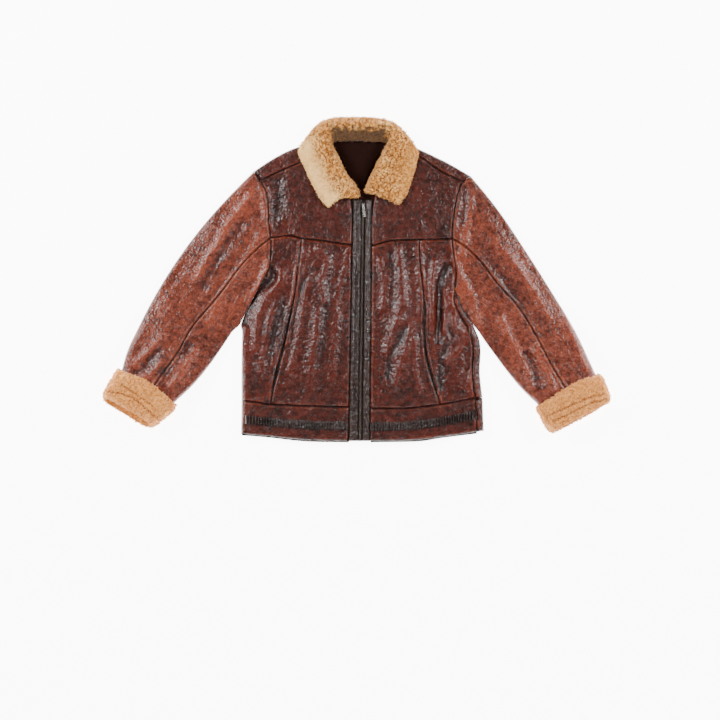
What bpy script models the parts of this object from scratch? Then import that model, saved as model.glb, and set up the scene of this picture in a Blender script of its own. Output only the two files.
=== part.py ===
"""Shearling jacket laid flat on its back: leather side out, wool collar and turned-back cuffs.

The ground is z = 0, the front faces up and the neck points to +Y. Right and left are the
wearer's, so the left sleeve lies towards +X. The origin is on the zip line, under the back.

Each piece of cloth is a net of points with an outer and an inner place, one wall apart.
The body and the sleeves are flattened tubes: a flat underside, half-round folded edges and
a softly raised top. The sizes and tables below are in millimetres.
"""
import math

import bmesh
import bpy
from mathutils import Vector

MM = 0.001

# Cloth
WALL = 8.0            # leather with its dense wool
FUR_WALL = 11.0       # collar and cuffs, wool side out
THIN_WALL = 2.0       # leather alone: plackets, strips, welts, neck facing
EDGE = 8.7            # half the height of the folded edges, where the two walls meet
SEAM_GAP = 0.5        # between two pieces along a seam
LIFT = 0.4            # between a piece and what lies on it
BED = WALL + LIFT     # lowest place for a piece that lies on the back
MIN_WALL = 4.0        # thinnest front wall, at the bottom of a fold
EDGE_FADE = 28.0      # swells and folds fade out this far from a folded edge
ARMPIT_REACH = 1.0    # width of the round edge at the armpit, where it runs out

# The left side seam lies on the front, this far in from the folded edge
WRAP_WIDTH = 19.0
WRAP_START = 3.0
WRAP_ROWS = 4         # rows below the armpit over which the wrap reaches its width

# Sleeve ends
CUFF_HALF = 16.0      # half the height of the open sleeve end
CUFF_LOW = FUR_WALL + LIFT
MOUTH_SLANT = {"right": 17.0, "left": 7.0}     # the lower layer reaches this much further
# Shares of the sleeve's length between which it opens, lifts, and loses its folds
OPENING = (0.4, 0.78)
LIFTING = (0.5, 0.74)
FOLD_END = (0.62, 0.76)

# How many parts each run of a seam has
SIDE_ROWS = 13
ARMHOLE_LOW_ROWS = 4
YOKE_ROWS = 6
BAND_ROWS = 2
SIDE_COLUMNS = 5
FRONT_COLUMNS = 6
UNDER_LOW = 2         # armhole parts on the underside
UNDER_HIGH = 4
SHOULDER_PARTS = 5
STRIP_COLUMNS = 2
NECK_COLUMNS = 4
SLEEVE_ROWS = 12
CUFF_ROWS = (0.0, 0.13, 0.5, 0.84, 1.0)        # along the cuff, from its sleeve edge to its mouth
CUFF_FULLNESS = (0.55, 1.0, 1.0, 1.0, 0.5)     # share of the fur wall at each of those rows
SLEEVE_END = 3                                 # the sleeve stops at this row of the cuff
ARC_PARTS = 4
COLLAR_STATIONS = 28
COLLAR_PARTS = 8

# Places where seams meet: x, y
CORNER = {
    "right": {
        "shoulder": (-260, 263), "armhole_top": (-245, 240), "armhole_yoke": (-218, 103),
        "armpit": (-223, 31), "band_side": (-289, -286), "hem_side": (-290, -367),
        "band_pocket": (-218, -296), "hem_pocket": (-219, -373), "band_front": (-31.3, -302),
        "hem_front": (-32.8, -384), "yoke_pocket": (-145, 101), "yoke_front": (-24, 85),
        "front_top": (-22.4, 184), "neck_seam": (-91, 306), "neck_fold": (-101, 336),
        "cuff_outer": (-575, -214), "cuff_seam": (-494, -250), "cuff_inner": (-447, -293),
        "mouth_outer": (-609, -277), "mouth_seam": (-548, -313), "mouth_inner": (-502, -341),
    },
    "left": {
        "shoulder": (262, 251), "armhole_top": (240, 238), "armhole_yoke": (216, 101),
        "armpit": (223, -22), "band_side": (290, -280), "hem_side": (293, -360),
        "band_pocket": (187, -296), "hem_pocket": (188, -374), "band_front": (19.6, -305),
        "hem_front": (19, -384), "yoke_pocket": (138, 98), "yoke_front": (23, 83),
        "front_top": (24, 184), "neck_seam": (84, 318), "neck_fold": (92, 336),
        "band_seam": (271, -280.2), "hem_seam": (276, -362),
        "cuff_outer": (561, -225), "cuff_seam": (484, -256), "cuff_inner": (420, -298),
        "mouth_outer": (587, -288), "mouth_seam": (520, -326), "mouth_inner": (458, -358),
    },
}

# Seam and edge lines: a corner, the places between, a corner
LINE = {
    "right": {
        "shoulder_edge": ("shoulder", (-235, 281), (-185, 310), (-151, 324), "neck_fold"),
        "shoulder_seam": ("armhole_top", (-178, 271), (-125, 293), "neck_seam"),
        "strip_end": ("armhole_top", "shoulder"),
        "armhole_high": ("armhole_yoke", (-223, 138), (-223, 170), (-229, 214), "armhole_top"),
        "armhole_low": ("armpit", (-218, 62), "armhole_yoke"),
        "edge": ("band_side", (-289, -200), (-288, -130), (-284, -91), (-267, -58), (-241, -5),
                 "armpit"),
        "edge_band": ("hem_side", "band_side"),
        "yoke_outer": ("armhole_yoke", (-170, 108), "yoke_pocket"),
        "yoke_inner": ("yoke_pocket", (-96, 96), "yoke_front"),
        "pocket": ("band_pocket", (-214, -262), (-202, -214), (-187, -154), (-173, -89),
                   (-160, -26), (-151, 55), "yoke_pocket"),
        "front_edge": ("band_front", "yoke_front"),
        "neck": ("yoke_front", "front_top", (-27, 203), (-39, 224), (-57, 249), (-72, 276),
                 "neck_seam"),
        "band_outer": ("band_side", (-250, -291), "band_pocket"),
        "band_inner": ("band_pocket", (-110, -300), "band_front"),
        "hem_outer": ("hem_side", (-255, -370), "hem_pocket"),
        "hem_inner": ("hem_pocket", (-133, -382), "hem_front"),
        "sleeve_outer": ("shoulder", (-314, 209), (-367, 151), (-413, 94), (-454, 36),
                         (-490, -22), (-521, -79), (-549, -137), (-570, -180), "cuff_outer"),
        "sleeve_seam": ("armhole_yoke", (-256, 72), (-293, 31), (-341, -34), (-410, -115),
                        (-439, -173), (-475, -220), "cuff_seam"),
        "sleeve_inner": ("armpit", (-244, -6), (-271, -58), (-289, -93), (-310, -122),
                         (-348, -180), (-391, -238), (-418, -266), "cuff_inner"),
    },
    "left": {
        "shoulder_edge": ("shoulder", (238, 266), (185, 295), (151, 310), (122, 324), "neck_fold"),
        "shoulder_seam": ("armhole_top", (187, 262), (136, 300), "neck_seam"),
        "strip_end": ("armhole_top", "shoulder"),
        "armhole_high": ("armhole_yoke", (218, 144), (228, 202), "armhole_top"),
        "armhole_low": ("armpit", (228, 14), (220, 56), "armhole_yoke"),
        "edge": ("band_side", (286, -250), (283, -214), (286, -166), (281, -134), (257, -94),
                 (240, -70), (226, -43), "armpit"),
        "edge_band": ("hem_side", "band_side"),
        "seam_band": ("hem_seam", "band_seam"),
        "yoke_outer": ("armhole_yoke", "yoke_pocket"),
        "yoke_inner": ("yoke_pocket", (70, 96), "yoke_front"),
        "pocket": ("band_pocket", (166, -226), (153, -175), (149, -115), (149, -46), (139, 46),
                   "yoke_pocket"),
        "front_edge": ("band_front", "yoke_front"),
        "neck": ("yoke_front", "front_top", (30, 206), (40, 236), (57, 274), (70, 302),
                 "neck_seam"),
        "band_outer": ("band_seam", (223, -290), "band_pocket"),
        "band_inner": ("band_pocket", (108, -305), "band_front"),
        "hem_outer": ("hem_seam", (223, -370), "hem_pocket"),
        "hem_inner": ("hem_pocket", (132, -382), "hem_front"),
        "sleeve_outer": ("shoulder", (286, 223), (331, 166), (370, 108), (408, 50), (444, -7),
                         (480, -65), (514, -122), (540, -180), (552, -205), "cuff_outer"),
        "sleeve_seam": ("armhole_yoke", (252, 79), (290, 38), (331, -17), (377, -65),
                        (422, -144), (469, -233), "cuff_seam"),
        "sleeve_inner": ("armpit", (230, -42), (244, -69), (262, -94), (286, -134), (319, -180),
                         (362, -238), (390, -270), "cuff_inner"),
    },
}

# Soft swells of the top: centre, reach along x and y, height
SWELLS = (
    # x, y, reach_x, reach_y, height
    (-130, 165, 75, 70, 5),
    (125, 160, 75, 70, 6),
    (-110, -90, 60, 150, 8),
    (95, -110, 55, 150, 9),
    (-240, -170, 32, 110, 6),
    (215, -190, 35, 95, 7),
    (-330, 60, 70, 90, 9),
    (340, 60, 65, 90, 9),
    (-450, -110, 65, 80, 8),
    (445, -120, 65, 80, 8),
)

# Folds of the top, each a straight ridge or, with a height below 0, a trough
FOLDS = (
    # x0, y0, x1, y1, reach, height
    (205, 35, 184, -115, 12, -7),
    (184, 20, 168, -90, 14, 6),
    (222, -30, 212, -140, 14, 6),
    (262, -100, 292, -155, 10, -4),
    (-208, 5, -262, -80, 13, -6),
    (-190, 0, -225, -120, 16, 5),
    (-110, 60, -102, -190, 17, 5),
    (82, 50, 92, -180, 16, 5),
    (-60, -40, -70, -230, 15, -3),
    (262, 215, 250, 130, 12, -5),
    (290, 190, 275, 120, 15, 4),
    (400, -185, 430, -245, 12, -5),
    (-480, -170, -520, -215, 12, -5),
    (-330, 20, -300, -60, 15, -4),
    (330, -60, 300, -90, 14, -4),
    (-255, 200, -250, 120, 14, 4),
)

# Collar stations, from the right front corner round the neck to the left front corner.
# The places are on its underside: free edge, crest of the roll, and foot on the neck seam.
# The bow lifts the middle of a station towards +Y, as the front edges of the leaves are.
COLLAR = (
    # edge_x, edge_y, edge_z, crest_x, crest_y, crest_z, foot_x, foot_y, bow
    (-82, 174, 0, -16, 197, 30, -15, 198, 13),
    (-92, 184, 0, -19, 208, 30, -18, 209, 12),
    (-106, 205, 0, -28, 225, 31, -27, 226, 8),
    (-122, 235, 0, -45, 246, 32, -44, 247, 3),
    (-142, 281, 0, -63, 279, 32, -62, 280, 0),
    (-153, 306, 0, -77, 311, 31, -76, 312, 0),
    (-147, 326, 0, -88, 335, 30, -83, 330, 0),
    (-128, 345, 6, -90, 356, 29, -72, 338, 0),
    (-105, 366, 1, -82, 371, 29, -58, 339, 0),
    (-85, 377, 1, -64, 377, 29, -44, 339, 0),
    (-40, 380, 1, -38, 379, 29, -26, 339, 0),
    (0, 380, 1, 0, 379, 29, -2, 339, 0),
    (38, 378, 1, 36, 377, 29, 22, 339, 0),
    (68, 371, 1, 56, 373, 29, 38, 339, 0),
    (88, 359, 1, 72, 364, 29, 50, 338, 0),
    (108, 342, 5, 82, 350, 29, 62, 336, 0),
    (128, 322, 0, 78, 331, 30, 69, 326, 0),
    (134, 304, 0, 62, 306, 31, 61, 307, 0),
    (130, 281, 0, 48, 277, 32, 47, 278, 0),
    (123, 255, 0, 33, 246, 32, 32, 247, 0),
    (115, 228, 0, 22, 223, 31, 21, 224, 2),
    (106, 200, 0, 17, 213, 30, 16, 214, 4),
    (87, 181, 0, 15, 209, 30, 14, 210, 4),
)
COLLAR_FOOT = BED + LIFT
COLLAR_LIFT = 10.0    # the leaf rises this much from its free edge to the crest
COLLAR_EDGE_WALL = (0.55, 0.9)    # share of the fur wall at the leaf's free edge
DRAPE = 38.0          # past the shoulder edge the collar falls to the ground over this length

BACK_NECK = ((-60, 331), (50, 331))    # the back's top edge runs through these

# Neck facing, the patch of the back that shows inside the collar
FACING_RIGHT = ((-3, 216), (-12, 232), (-33, 255), (-50, 285), (-62, 312), (-66, 326))
FACING_LEFT = ((3, 222), (16, 248), (34, 283), (46, 310), (54, 326))

# Zip and plackets: x at the top end, x at the hem, measured at the two ends below
FRONT_TOP = 196.0
HEM_Y = -384.0
PLACKET_RIGHT = ((-21.5, -32.5), (-0.5, -9.5))
PLACKET_LEFT = ((7.5, -0.5), (23.5, 18.5))
ZIP_EDGES = ((0.0, -9.0), (7.0, -1.0))
PLACKET_ROWS = 18
RIB_PROFILE = (0.0, 1.6, 0.3, 1.6, 0.3, 0.0)   # raised tucks across a placket
ZIP_RISE = 1.2
ZIP_DROP = 4.0        # the zip ends this much below the plackets
ZIP_LOW = 2 * EDGE - 2.0    # height of the tape, a little below the plackets

# Hem strips, dark leather let into the bands: share of the band's height, from the hem,
# at the outer end and at the zip
STRIP_LOW = {"right": (0.31, 0.325), "left": (0.38, 0.30)}
STRIP_HIGH = {"right": (0.573, 0.58), "left": (0.645, 0.57)}

# Pocket slits in the long front seams
SLIT_WIDTH = 3.0
SLIT_TOP = -42.0
SLIT_BOTTOM = -264.0
SLIT_TAPER = 15.0     # it narrows to nothing over this length at both ends
WELT_WIDTH = 7.0
WELT_LIFT = {"right": 0.6, "left": 1.4}    # clears the folds of the side panel below it

# Zip slider and pull tab
SLIDER_Y = 178.0
SLIDER_WIDTH = 7.0
SLIDER_LENGTH = 14.0
SLIDER_HEIGHT = 3.2
BRIDGE_WIDTH = 2.6
BRIDGE_LENGTH = 9.0
BRIDGE_HEIGHT = 4.0
BRIDGE_BAR = 1.2
PULL_WIDTH = 6.8
PULL_LENGTH = 24.0
PULL_THICK = 1.4
PULL_WINDOW = 4.4
PULL_WINDOW_LENGTH = 5.6
PULL_BAR = 1.4
HINGE_RISE = 1.3      # the tab's bar lies this high over the slider, inside the bridge
HINGE_BACK = 1.5      # and this much behind the slider's middle
PULL_TURN = math.radians(8.0)    # the tab lies turned towards the left front
PULL_SLOPE = math.radians(2.0)    # and its tip hangs down on the placket

# Material colours, roughness and metallic value
MATERIAL = {
    "leather": ((0.110, 0.035, 0.020), 0.42, 0.0),
    "side_leather": ((0.150, 0.045, 0.024), 0.42, 0.0),
    "dark_leather": ((0.035, 0.022, 0.020), 0.50, 0.0),
    "fur": ((0.520, 0.250, 0.085), 0.95, 0.0),
    "facing": ((0.060, 0.020, 0.014), 0.60, 0.0),
    "tape": ((0.020, 0.015, 0.014), 0.80, 0.0),
    "zip_metal": ((0.560, 0.540, 0.500), 0.28, 1.0),
}


def smoothstep(value):
    value = min(1.0, max(0.0, value))
    return value * value * (3.0 - 2.0 * value)


def ramp(value, ends):
    """Rise smoothly from 0 to 1 while a value passes from one end to the other."""
    return smoothstep((value - ends[0]) / (ends[1] - ends[0]))


def blend(a, b, share):
    return a + (b - a) * share


def smooth_curve(points, parts, shares=None):
    """Read places at even steps, or at the given shares, along a smooth curve through points."""
    knots = [Vector(point) for point in points]
    ends = [2 * knots[0] - knots[1]] + knots + [2 * knots[-1] - knots[-2]]
    fine = []
    steps = 24
    for index in range(1, len(ends) - 2):
        before, start, stop, after = ends[index - 1:index + 3]
        chord = (stop - start).length
        slope_in = (stop - before) * (chord / ((start - before).length + chord))
        slope_out = (after - start) * (chord / ((after - stop).length + chord))
        for step in range(steps):
            t = step / steps
            fine.append(start * (2 * t**3 - 3 * t**2 + 1) + slope_in * (t**3 - 2 * t**2 + t)
                        + stop * (3 * t**2 - 2 * t**3) + slope_out * (t**3 - t**2))
    fine.append(knots[-1])
    lengths = [0.0]
    for start, stop in zip(fine, fine[1:]):
        lengths.append(lengths[-1] + (stop - start).length)
    if shares is None:
        shares = [part / parts for part in range(parts + 1)]
    places = []
    index = 0
    for share in shares:
        target = share * lengths[-1]
        while index < len(lengths) - 2 and lengths[index + 1] < target:
            index += 1
        span = lengths[index + 1] - lengths[index]
        places.append(fine[index].lerp(fine[index + 1], (target - lengths[index]) / span))
    return places


def run(side, name, parts, shares=None):
    """Read a named line of one side at even steps."""
    points = [CORNER[side][point] if isinstance(point, str) else point
              for point in LINE[side][name]]
    return smooth_curve(points, parts, shares)


def chain(*runs):
    """Join runs that follow each other."""
    places = list(runs[0])
    for following in runs[1:]:
        places.extend(following[1:])
    return places


def refine(points, parts):
    """Split the longest steps of a run in half until it has the given number of parts."""
    places = [place.copy() for place in points]
    while len(places) - 1 < parts:
        steps = [(stop - start).length for start, stop in zip(places, places[1:])]
        index = steps.index(max(steps))
        places.insert(index + 1, (places[index] + places[index + 1]) / 2)
    return places


def coons(bottom, top, start, end):
    """Fill a four-sided outline with rows of places, from the bottom run to the top run."""
    rows = []
    row_count = len(start) - 1
    column_count = len(bottom) - 1
    for j in range(row_count + 1):
        v = j / row_count
        row = []
        for i in range(column_count + 1):
            u = i / column_count
            ruled = bottom[i].lerp(top[i], v) + start[j].lerp(end[j], u)
            corners = (bottom[0].lerp(bottom[-1], u)).lerp(top[0].lerp(top[-1], u), v)
            row.append(ruled - corners)
        rows.append(row)
    return rows


def segments_of(points):
    return list(zip(points, points[1:]))


def make_outline():
    """Collect the folded edges of the garment, where its top comes down."""
    outline = []
    for side in ("right", "left"):
        for name, parts in (("shoulder_edge", 8), ("edge", 20), ("edge_band", 2),
                            ("sleeve_outer", 20), ("sleeve_inner", 20)):
            outline.extend(segments_of(run(side, name, parts)))
    return outline


OUTLINE = make_outline()


def segment_distance(x, y, start, stop):
    dx, dy = stop[0] - start[0], stop[1] - start[1]
    along = ((x - start[0]) * dx + (y - start[1]) * dy) / (dx * dx + dy * dy)
    along = min(1.0, max(0.0, along))
    return math.hypot(x - start[0] - along * dx, y - start[1] - along * dy)


def edge_distance(x, y):
    return min(segment_distance(x, y, start, stop) for start, stop in OUTLINE)


def bumps(x, y):
    """Height of the swells and folds over the plain top."""
    height = 0.0
    for centre_x, centre_y, reach_x, reach_y, rise in SWELLS:
        height += rise * math.exp(-((x - centre_x) / reach_x)**2 - ((y - centre_y) / reach_y)**2)
    for x0, y0, x1, y1, reach, rise in FOLDS:
        height += rise * math.exp(-(segment_distance(x, y, (x0, y0), (x1, y1)) / reach)**2)
    return height * smoothstep((edge_distance(x, y) - EDGE) / EDGE_FADE)


def body_top(x, y):
    """Height of the body's outer surface."""
    return max(2 * EDGE + bumps(x, y), BED + MIN_WALL)


class Sheet:
    """A piece of cloth: a net of named points, each with an outer and an inner place."""

    def __init__(self):
        self.outer = {}
        self.inner = {}
        self.faces = []

    def point(self, key, outer, inner):
        self.outer[key] = Vector(outer)
        self.inner[key] = Vector(inner)

    def net(self, rows):
        """Join rows of keys with four-sided faces."""
        for low, high in zip(rows, rows[1:]):
            for i in range(len(low) - 1):
                self.faces.append((low[i], low[i + 1], high[i + 1], high[i]))

    def boundary(self):
        """Return the outer edges, each with the middle of its face."""
        uses = {}
        for face in self.faces:
            middle = sum((self.outer[key] for key in face), Vector()) / len(face)
            for start, stop in zip(face, face[1:] + face[:1]):
                uses.setdefault(frozenset((start, stop)), []).append((start, stop, middle))
        return [found[0] for found in uses.values() if len(found) == 1]

    def draw_in(self, amount):
        """Move the boundary inwards, which opens the gap to the next piece of the seam."""
        shift = {}
        for start, stop, middle in self.boundary():
            along = (self.outer[stop] - self.outer[start]).normalized()
            inward = middle - self.outer[start]
            inward = (inward - along * inward.dot(along)).normalized()
            for key in (start, stop):
                shift.setdefault(key, []).append(inward)
        for key, directions in shift.items():
            move = sum(directions, Vector()).normalized() * amount
            self.outer[key] = self.outer[key] + move
            self.inner[key] = self.inner[key] + move

    def build(self, name, material, gap=SEAM_GAP):
        """Make the closed solid between the outer and the inner places."""
        edges = self.boundary()
        self.draw_in(gap / 2)
        mesh = bmesh.new()
        outer = {key: mesh.verts.new(place * MM) for key, place in self.outer.items()}
        inner = {key: mesh.verts.new(place * MM) for key, place in self.inner.items()}
        for face in self.faces:
            mesh.faces.new([outer[key] for key in face])
            mesh.faces.new([inner[key] for key in reversed(face)])
        for start, stop, _ in edges:
            mesh.faces.new((outer[stop], outer[start], inner[start], inner[stop]))
        return finish(mesh, name, material)


def finish(mesh, name, material):
    """Turn the faces outwards and give the piece its name and material."""
    bmesh.ops.triangulate(mesh, faces=mesh.faces[:])
    bmesh.ops.recalc_face_normals(mesh, faces=mesh.faces[:])
    data = bpy.data.meshes.new(name)
    mesh.to_mesh(data)
    mesh.free()
    data.shade_smooth()
    data.set_sharp_from_angle(angle=math.radians(50))
    data.materials.append(MATERIALS[material])
    piece = bpy.data.objects.new(name, data)
    bpy.context.collection.objects.link(piece)
    return piece


def make_materials():
    made = {}
    for name, (colour, roughness, metallic) in MATERIAL.items():
        material = bpy.data.materials.new(name)
        material.use_nodes = True
        surface = material.node_tree.nodes["Principled BSDF"]
        surface.inputs["Base Color"].default_value = (*colour, 1.0)
        surface.inputs["Roughness"].default_value = roughness
        surface.inputs["Metallic"].default_value = metallic
        made[name] = material
    return made


def top_points(sheet, tag, grid, wall=WALL):
    """Place a grid on the body's top, and return its rows of keys."""
    rows = []
    for j, row in enumerate(grid):
        keys = []
        for i, place in enumerate(row):
            key = (tag, j, i)
            top = body_top(place.x, place.y)
            sheet.point(key, (place.x, place.y, top),
                        (place.x, place.y, max(top - wall, BED)))
            keys.append(key)
        rows.append(keys)
    return rows


def edge_point(sheet, key, inset, edge, angle, reach, low=0.0, half=EDGE):
    """Place a point on the half-round edge. The angle runs from 0 below to pi on top."""
    out = (edge - inset).normalized()
    side = math.sin(angle)
    rise = math.cos(angle)
    outer = inset + out * (reach * side)
    inner = inset + out * ((reach - WALL) * side)
    sheet.point(key, (outer.x, outer.y, low + half * (1 - rise)),
                (inner.x, inner.y, low + half - (half - WALL) * rise))


def insets(edges, others, reaches):
    """Step in from an edge towards the place across from it."""
    return [edge + (other - edge).normalized() * reach
            for edge, other, reach in zip(edges, others, reaches)]


HALF_SEAM = math.asin(SEAM_GAP / 2 / EDGE)


def side_reaches():
    """Width of the round edge at each side row: none along the armhole, full below."""
    return [EDGE] * SIDE_ROWS + [ARMPIT_REACH] + [0.0] * ARMHOLE_LOW_ROWS


def left_side_seam():
    """Places of the left side seam, stepped in from the folded edge."""
    widths = []
    for row in range(SIDE_ROWS + 1):
        below = min(1.0, (SIDE_ROWS - row) / WRAP_ROWS)
        widths.append(blend(WRAP_START, WRAP_WIDTH, math.sqrt(below)))
    return insets(run("left", "edge", SIDE_ROWS), run("right", "edge", SIDE_ROWS), widths)


def side_front_grid(side):
    """Places of a side panel, with its folded edge and the line where the edge begins."""
    pocket = run(side, "pocket", SIDE_ROWS + ARMHOLE_LOW_ROWS)
    edge = chain(run(side, "edge", SIDE_ROWS), run(side, "armhole_low", ARMHOLE_LOW_ROWS))
    if side == "right":
        across = chain(run("left", "edge", SIDE_ROWS), run("left", "armhole_low",
                                                           ARMHOLE_LOW_ROWS))
        outer = insets(edge, across, side_reaches())
    else:
        outer = chain(left_side_seam(), run(side, "armhole_low", ARMHOLE_LOW_ROWS))
        outer[SIDE_ROWS] = outer[SIDE_ROWS] - Vector((2 * SEAM_GAP, 0))
    away = Vector((1 if side == "left" else -1, 0))
    inner = [place + away * slit_half(place.y) for place in pocket]
    top = run(side, "yoke_outer", SIDE_COLUMNS)
    bottom = run(side, "band_outer", SIDE_COLUMNS)
    bottom[0] = outer[0]
    return coons(bottom, top, outer, inner), edge, outer


def side_front(side):
    """Side panel of a front, from the band seam up to the yoke seam."""
    sheet = Sheet()
    grid, edge, outer = side_front_grid(side)
    rows = top_points(sheet, "top", grid)
    sheet.net(rows)
    if side == "right":
        side_arc(sheet, rows, edge, outer, SIDE_ROWS)
    return sheet.build("side_front_" + side, "side_leather")


def side_arc(sheet, rows, edge, inset, last):
    """Carry a top panel round the edge to the seam at half height."""
    strips = []
    for j in range(last + 1):
        keys = [rows[j][0]]
        reach = (edge[j] - inset[j]).length
        for part in (1, 2):
            key = ("arc", j, part)
            angle = blend(math.pi, math.pi / 2 + HALF_SEAM, part / 2)
            edge_point(sheet, key, inset[j], edge[j], angle, reach)
            keys.append(key)
        strips.append(keys[::-1])
    sheet.net(strips)


def slit_half(y):
    """Half the width of the pocket slit at a height of the seam."""
    ends = smoothstep((SLIT_TOP - y) / SLIT_TAPER) * smoothstep((y - SLIT_BOTTOM) / SLIT_TAPER)
    return SLIT_WIDTH / 2 * ends


def centre_front(side):
    """Front panel between the long pocket seam and the placket."""
    sheet = Sheet()
    rows = SIDE_ROWS + ARMHOLE_LOW_ROWS
    outward = Vector((-1 if side == "left" else 1, 0))
    pocket = [place + outward * slit_half(place.y) for place in run(side, "pocket", rows)]
    grid = coons(run(side, "band_inner", FRONT_COLUMNS), run(side, "yoke_inner", FRONT_COLUMNS),
                 pocket, run(side, "front_edge", rows))
    sheet.net(top_points(sheet, "top", grid))
    return sheet.build("centre_front_" + side, "leather")


def yoke(side):
    """Front yoke, from the yoke seam up to the forward shoulder seam."""
    sheet = Sheet()
    bottom = chain(run(side, "yoke_outer", SIDE_COLUMNS), run(side, "yoke_inner", FRONT_COLUMNS))
    columns = SIDE_COLUMNS + FRONT_COLUMNS
    grid = coons(bottom, refine(run(side, "shoulder_seam", SHOULDER_PARTS), columns),
                 run(side, "armhole_high", YOKE_ROWS), run(side, "neck", YOKE_ROWS))
    sheet.net(top_points(sheet, "top", grid))
    return sheet.build("yoke_" + side, "leather")


def band_grid(side):
    """Places of a front hem band, from the hem up to the band seam."""
    bottom = chain(run(side, "hem_outer", SIDE_COLUMNS), run(side, "hem_inner", FRONT_COLUMNS))
    top = chain(run(side, "band_outer", SIDE_COLUMNS), run(side, "band_inner", FRONT_COLUMNS))
    shares = [row / BAND_ROWS for row in range(BAND_ROWS + 1)]
    if side == "right":
        edge = run(side, "edge_band", BAND_ROWS)
        inset = [place + Vector((EDGE, 0)) for place in edge]
    else:
        edge = None
        inset = run(side, "seam_band", BAND_ROWS)
    bottom[0], top[0] = inset[0], inset[-1]
    front = [bottom[-1].lerp(top[-1], share) for share in shares]
    return coons(bottom, top, inset, front), edge, inset


def front_band(side):
    """Hem band of one front."""
    sheet = Sheet()
    grid, edge, inset = band_grid(side)
    rows = top_points(sheet, "top", grid)
    sheet.net(rows)
    if edge:
        side_arc(sheet, rows, edge, inset, BAND_ROWS)
    return sheet.build("front_band_" + side, "leather")


def hem_strip(side):
    """Strip of dark leather on the band, made from the band's places and moved out."""
    sheet = Sheet()
    grid, _, _ = band_grid(side)
    columns = []
    last = len(grid[0]) - 1
    for i in range(last + 1):
        keys = []
        for j, share in enumerate((blend(*STRIP_LOW[side], i / last), 1 / BAND_ROWS,
                                   blend(*STRIP_HIGH[side], i / last))):
            row = int(share * BAND_ROWS)
            low = between(grid[row][i], grid[row + 1][i], share * BAND_ROWS - row)
            low = low + Vector((0, 0, LIFT))
            key = ("strip", j, i)
            sheet.point(key, low + Vector((0, 0, THIN_WALL)), low)
            keys.append(key)
        columns.append(keys)
    sheet.net(columns)
    return sheet.build("hem_strip_" + side, "dark_leather")


def between(start, stop, share):
    """A place on the body's facets, a share of the way between two places of its grid."""
    plan = start.lerp(stop, share)
    height = blend(body_top(start.x, start.y), body_top(stop.x, stop.y), share)
    return Vector((plan.x, plan.y, height))


def welt(side):
    """Pocket welt: a narrow strip on the side panel, along the slit."""
    sheet = Sheet()
    grid, _, _ = side_front_grid(side)
    keys = []
    for j, row in enumerate(grid):
        if SLIT_BOTTOM < row[-1].y < SLIT_TOP:
            span = (row[-2] - row[-1]).length
            pair = []
            for i, step in enumerate((LIFT, LIFT + WELT_WIDTH)):
                low = between(row[-1], row[-2], step / span) + Vector((0, 0, WELT_LIFT[side]))
                sheet.point(("welt", j, i), low + Vector((0, 0, THIN_WALL)), low)
                pair.append(("welt", j, i))
            keys.append(pair)
    sheet.net(keys)
    return sheet.build("pocket_welt_" + side, "leather")


def straight(ends, y):
    """X of a straight edge given by its x at the neck and at the hem."""
    share = (FRONT_TOP - y) / (FRONT_TOP - HEM_Y)
    return blend(ends[0], ends[1], share)


def placket(side, edges):
    """Dark tucked strip beside the zip, with two raised ribs."""
    sheet = Sheet()
    keys = []
    for j in range(PLACKET_ROWS + 1):
        y = blend(HEM_Y, FRONT_TOP, j / PLACKET_ROWS)
        row = []
        for i, rib in enumerate(RIB_PROFILE):
            x = blend(straight(edges[0], y), straight(edges[1], y), i / (len(RIB_PROFILE) - 1))
            top = body_top(x, y)
            sheet.point(("placket", j, i), (x, y, top + rib), (x, y, max(top - WALL, BED)))
            row.append(("placket", j, i))
        keys.append(row)
    sheet.net(keys)
    return sheet.build("placket_" + side, "dark_leather")


def zip_chain():
    """Closed zip between the plackets."""
    sheet = Sheet()
    keys = []
    for j in range(PLACKET_ROWS + 1):
        y = blend(HEM_Y, FRONT_TOP - ZIP_DROP, j / PLACKET_ROWS)
        row = []
        for i, share in enumerate((0.0, 0.3, 0.7, 1.0)):
            x = blend(straight(ZIP_EDGES[0], y), straight(ZIP_EDGES[1], y), share)
            rise = ZIP_RISE if i in (1, 2) else 0.0
            sheet.point(("zip", j, i), (x, y, ZIP_LOW + rise), (x, y, BED))
            row.append(("zip", j, i))
        keys.append(row)
    sheet.net(keys)
    return sheet.build("zip_chain", "tape")


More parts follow.
